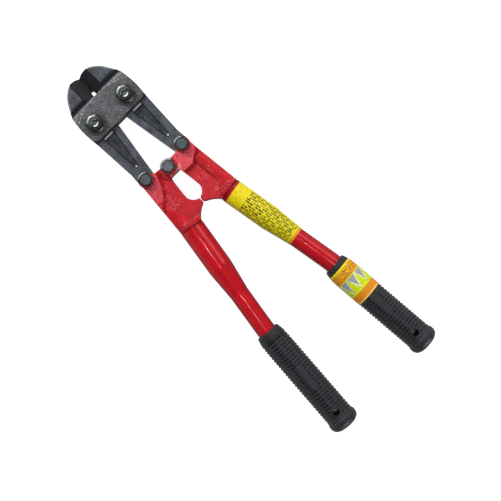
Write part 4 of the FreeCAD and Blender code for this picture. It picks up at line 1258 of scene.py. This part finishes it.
def wrapped_film(surface, place):
    """A film of the label's thickness round a turned surface, open at its seam underneath."""
    profile = [(x, radius + LABEL_PLAY + LABEL_THICKNESS) for x, radius in surface]
    profile += [(x, radius + LABEL_PLAY) for x, radius in reversed(surface)]
    gap = LABEL_SEAM / max(radius for _, radius in surface)
    shape = turned(profile, 96, closed=True, angle=math.tau - gap, turn_from=math.pi + gap / 2)
    bmesh.ops.transform(shape, matrix=place, verts=shape.verts)
    return shape


class BOLTCUTTERS_OT_stage(BoltCuttersPiece, bpy.types.Operator):
    """Pale floor, soft studio light and the camera"""
    bl_idname = "bolt_cutters.stage"
    bl_label = "Stage"

    def execute(self, context):
        scene = context.scene
        settings = scene.bolt_cutters.stage
        scene.view_settings.view_transform = "Standard"
        self.floor(settings)
        self.surround(scene, settings)
        middle = Vector((0.09, 0, MID_HEIGHT))
        self.softbox("Key light", (-1.05, 0.12, 0.8), middle, 0.5, 0.7, settings.key)
        self.softbox("Side light", (0.05, 1.05, 0.85), middle, 0.6, 0.6, settings.side)
        self.softbox("Strip light", (0.16, 0.0, 1.35), Vector((0.16, 0, 0)), 0.03, 0.3, settings.strip)
        self.softbox("Fill light", (1.2, 0.2, 0.8), middle, 0.6, 0.6, settings.fill)
        self.camera(scene)
        return {"FINISHED"}

    @staticmethod
    def floor(settings):
        """Diffuse floor, lifted to white for the camera except close round the tool."""
        shape = bmesh.new()
        bmesh.ops.create_grid(shape, x_segments=1, y_segments=1, size=4)
        floor = linked(shape, "floor")
        finish = Finish("pale_floor")
        seen, glossy, through = finish.rays()
        plain = finish.node("ShaderNodeBsdfDiffuse", None, {"Color": settings.floor})
        clear = finish.node("ShaderNodeAmbientOcclusion", {"samples": 8}, {"Distance": 10 * MM}, output="AO")
        glow = finish.node("ShaderNodeEmission", None, {"Color": (1, 1, 1), "Strength": 0.86})
        lifted = finish.node("ShaderNodeAddShader", None, {0: plain, 1: glow})
        lift = seen.most(glossy * 0.4).most(through) * clear.rises(0.25, 0.5)
        shader = finish.node("ShaderNodeMixShader", None, {0: lift, 1: plain, 2: lifted})
        finish.node("ShaderNodeOutputMaterial", None, {"Surface": shader})
        floor.data.materials.append(finish.material)

    @staticmethod
    def surround(scene, settings):
        """Dim ceiling and lighter walls, white low down for the camera and in reflections."""
        scene.world = bpy.data.worlds.new("studio")
        finish = Finish("studio", scene.world)
        camera, glossy, through = finish.rays()
        seen = camera.most(glossy).most(through)
        toward, _, height = finish.parts(finish.node("ShaderNodeTexCoord", output="Generated"))
        wall = settings.surround * toward.falls(-0.5, 0.6) + settings.ceiling
        level = settings.ceiling + (wall - settings.ceiling) * height.falls(0.3, 0.85)
        white = seen * height.falls(0.2, 0.4) * camera.most(toward.falls(-0.3, 0.5))
        grey = finish.blend(level + white * (1 - level), (0, 0, 0), (1, 1, 1))
        light = finish.node("ShaderNodeBackground", None, {"Color": grey, "Strength": 1.0})
        finish.node("ShaderNodeOutputWorld", None, {"Surface": light})

    @staticmethod
    def softbox(name, at, towards, width, length, power):
        light = bpy.data.lights.new(name, "AREA")
        light.shape = "RECTANGLE"
        light.size, light.size_y = length, width
        light.energy = power
        lamp = bpy.data.objects.new(name, light)
        lamp.location = at
        lamp.rotation_euler = (towards - Vector(at)).to_track_quat("-Z", "Y").to_euler()
        bpy.context.scene.collection.objects.link(lamp)

    @staticmethod
    def camera(scene):
        data = bpy.data.cameras.new("camera")
        data.angle = CAMERA_ANGLE
        camera = bpy.data.objects.new("camera", data)
        camera.location = CAMERA_PLACE
        camera.rotation_euler = (0, 0, CAMERA_TURN)
        scene.collection.objects.link(camera)
        scene.camera = camera


OPERATORS = (
    BOLTCUTTERS_OT_blades, BOLTCUTTERS_OT_link_plates, BOLTCUTTERS_OT_blade_bolts,
    BOLTCUTTERS_OT_pivot_bolts, BOLTCUTTERS_OT_handle_heads, BOLTCUTTERS_OT_tubes,
    BOLTCUTTERS_OT_grips, BOLTCUTTERS_OT_tube_label, BOLTCUTTERS_OT_grip_label,
    BOLTCUTTERS_OT_stage)


class BOLTCUTTERS_PT_panel(bpy.types.Panel):
    """Panel that lists the operators"""
    bl_idname = "BOLTCUTTERS_PT_panel"
    bl_label = "Bolt Cutters"
    bl_space_type = "VIEW_3D"
    bl_region_type = "UI"
    bl_category = "Bolt Cutters"

    def draw(self, context):
        settings = context.scene.bolt_cutters
        for name in ("edges", "forging", "grip", "colours", "stage"):
            box = self.layout.box()
            box.label(text=name.capitalize())
            group = getattr(settings, name)
            for prop in group.bl_rna.properties:
                if prop.identifier not in ("rna_type", "name"):
                    box.prop(group, prop.identifier)
        for operator in OPERATORS:
            self.layout.operator(operator.bl_idname)


CLASSES = (
    EdgeSettings, ForgingSettings, GripSettings, ColourSettings, StageSettings, CutterSettings,
    *OPERATORS, BOLTCUTTERS_PT_panel)


def register():
    for cls in CLASSES:
        bpy.utils.register_class(cls)
    bpy.types.Scene.bolt_cutters = PointerProperty(type=CutterSettings)


def unregister():
    del bpy.types.Scene.bolt_cutters
    for cls in reversed(CLASSES):
        bpy.utils.unregister_class(cls)


def main():
    register()
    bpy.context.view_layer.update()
    for operator in OPERATORS:
        group, name = operator.bl_idname.split(".")
        getattr(getattr(bpy.ops, group), name)()


if __name__ == "__main__":
    main()
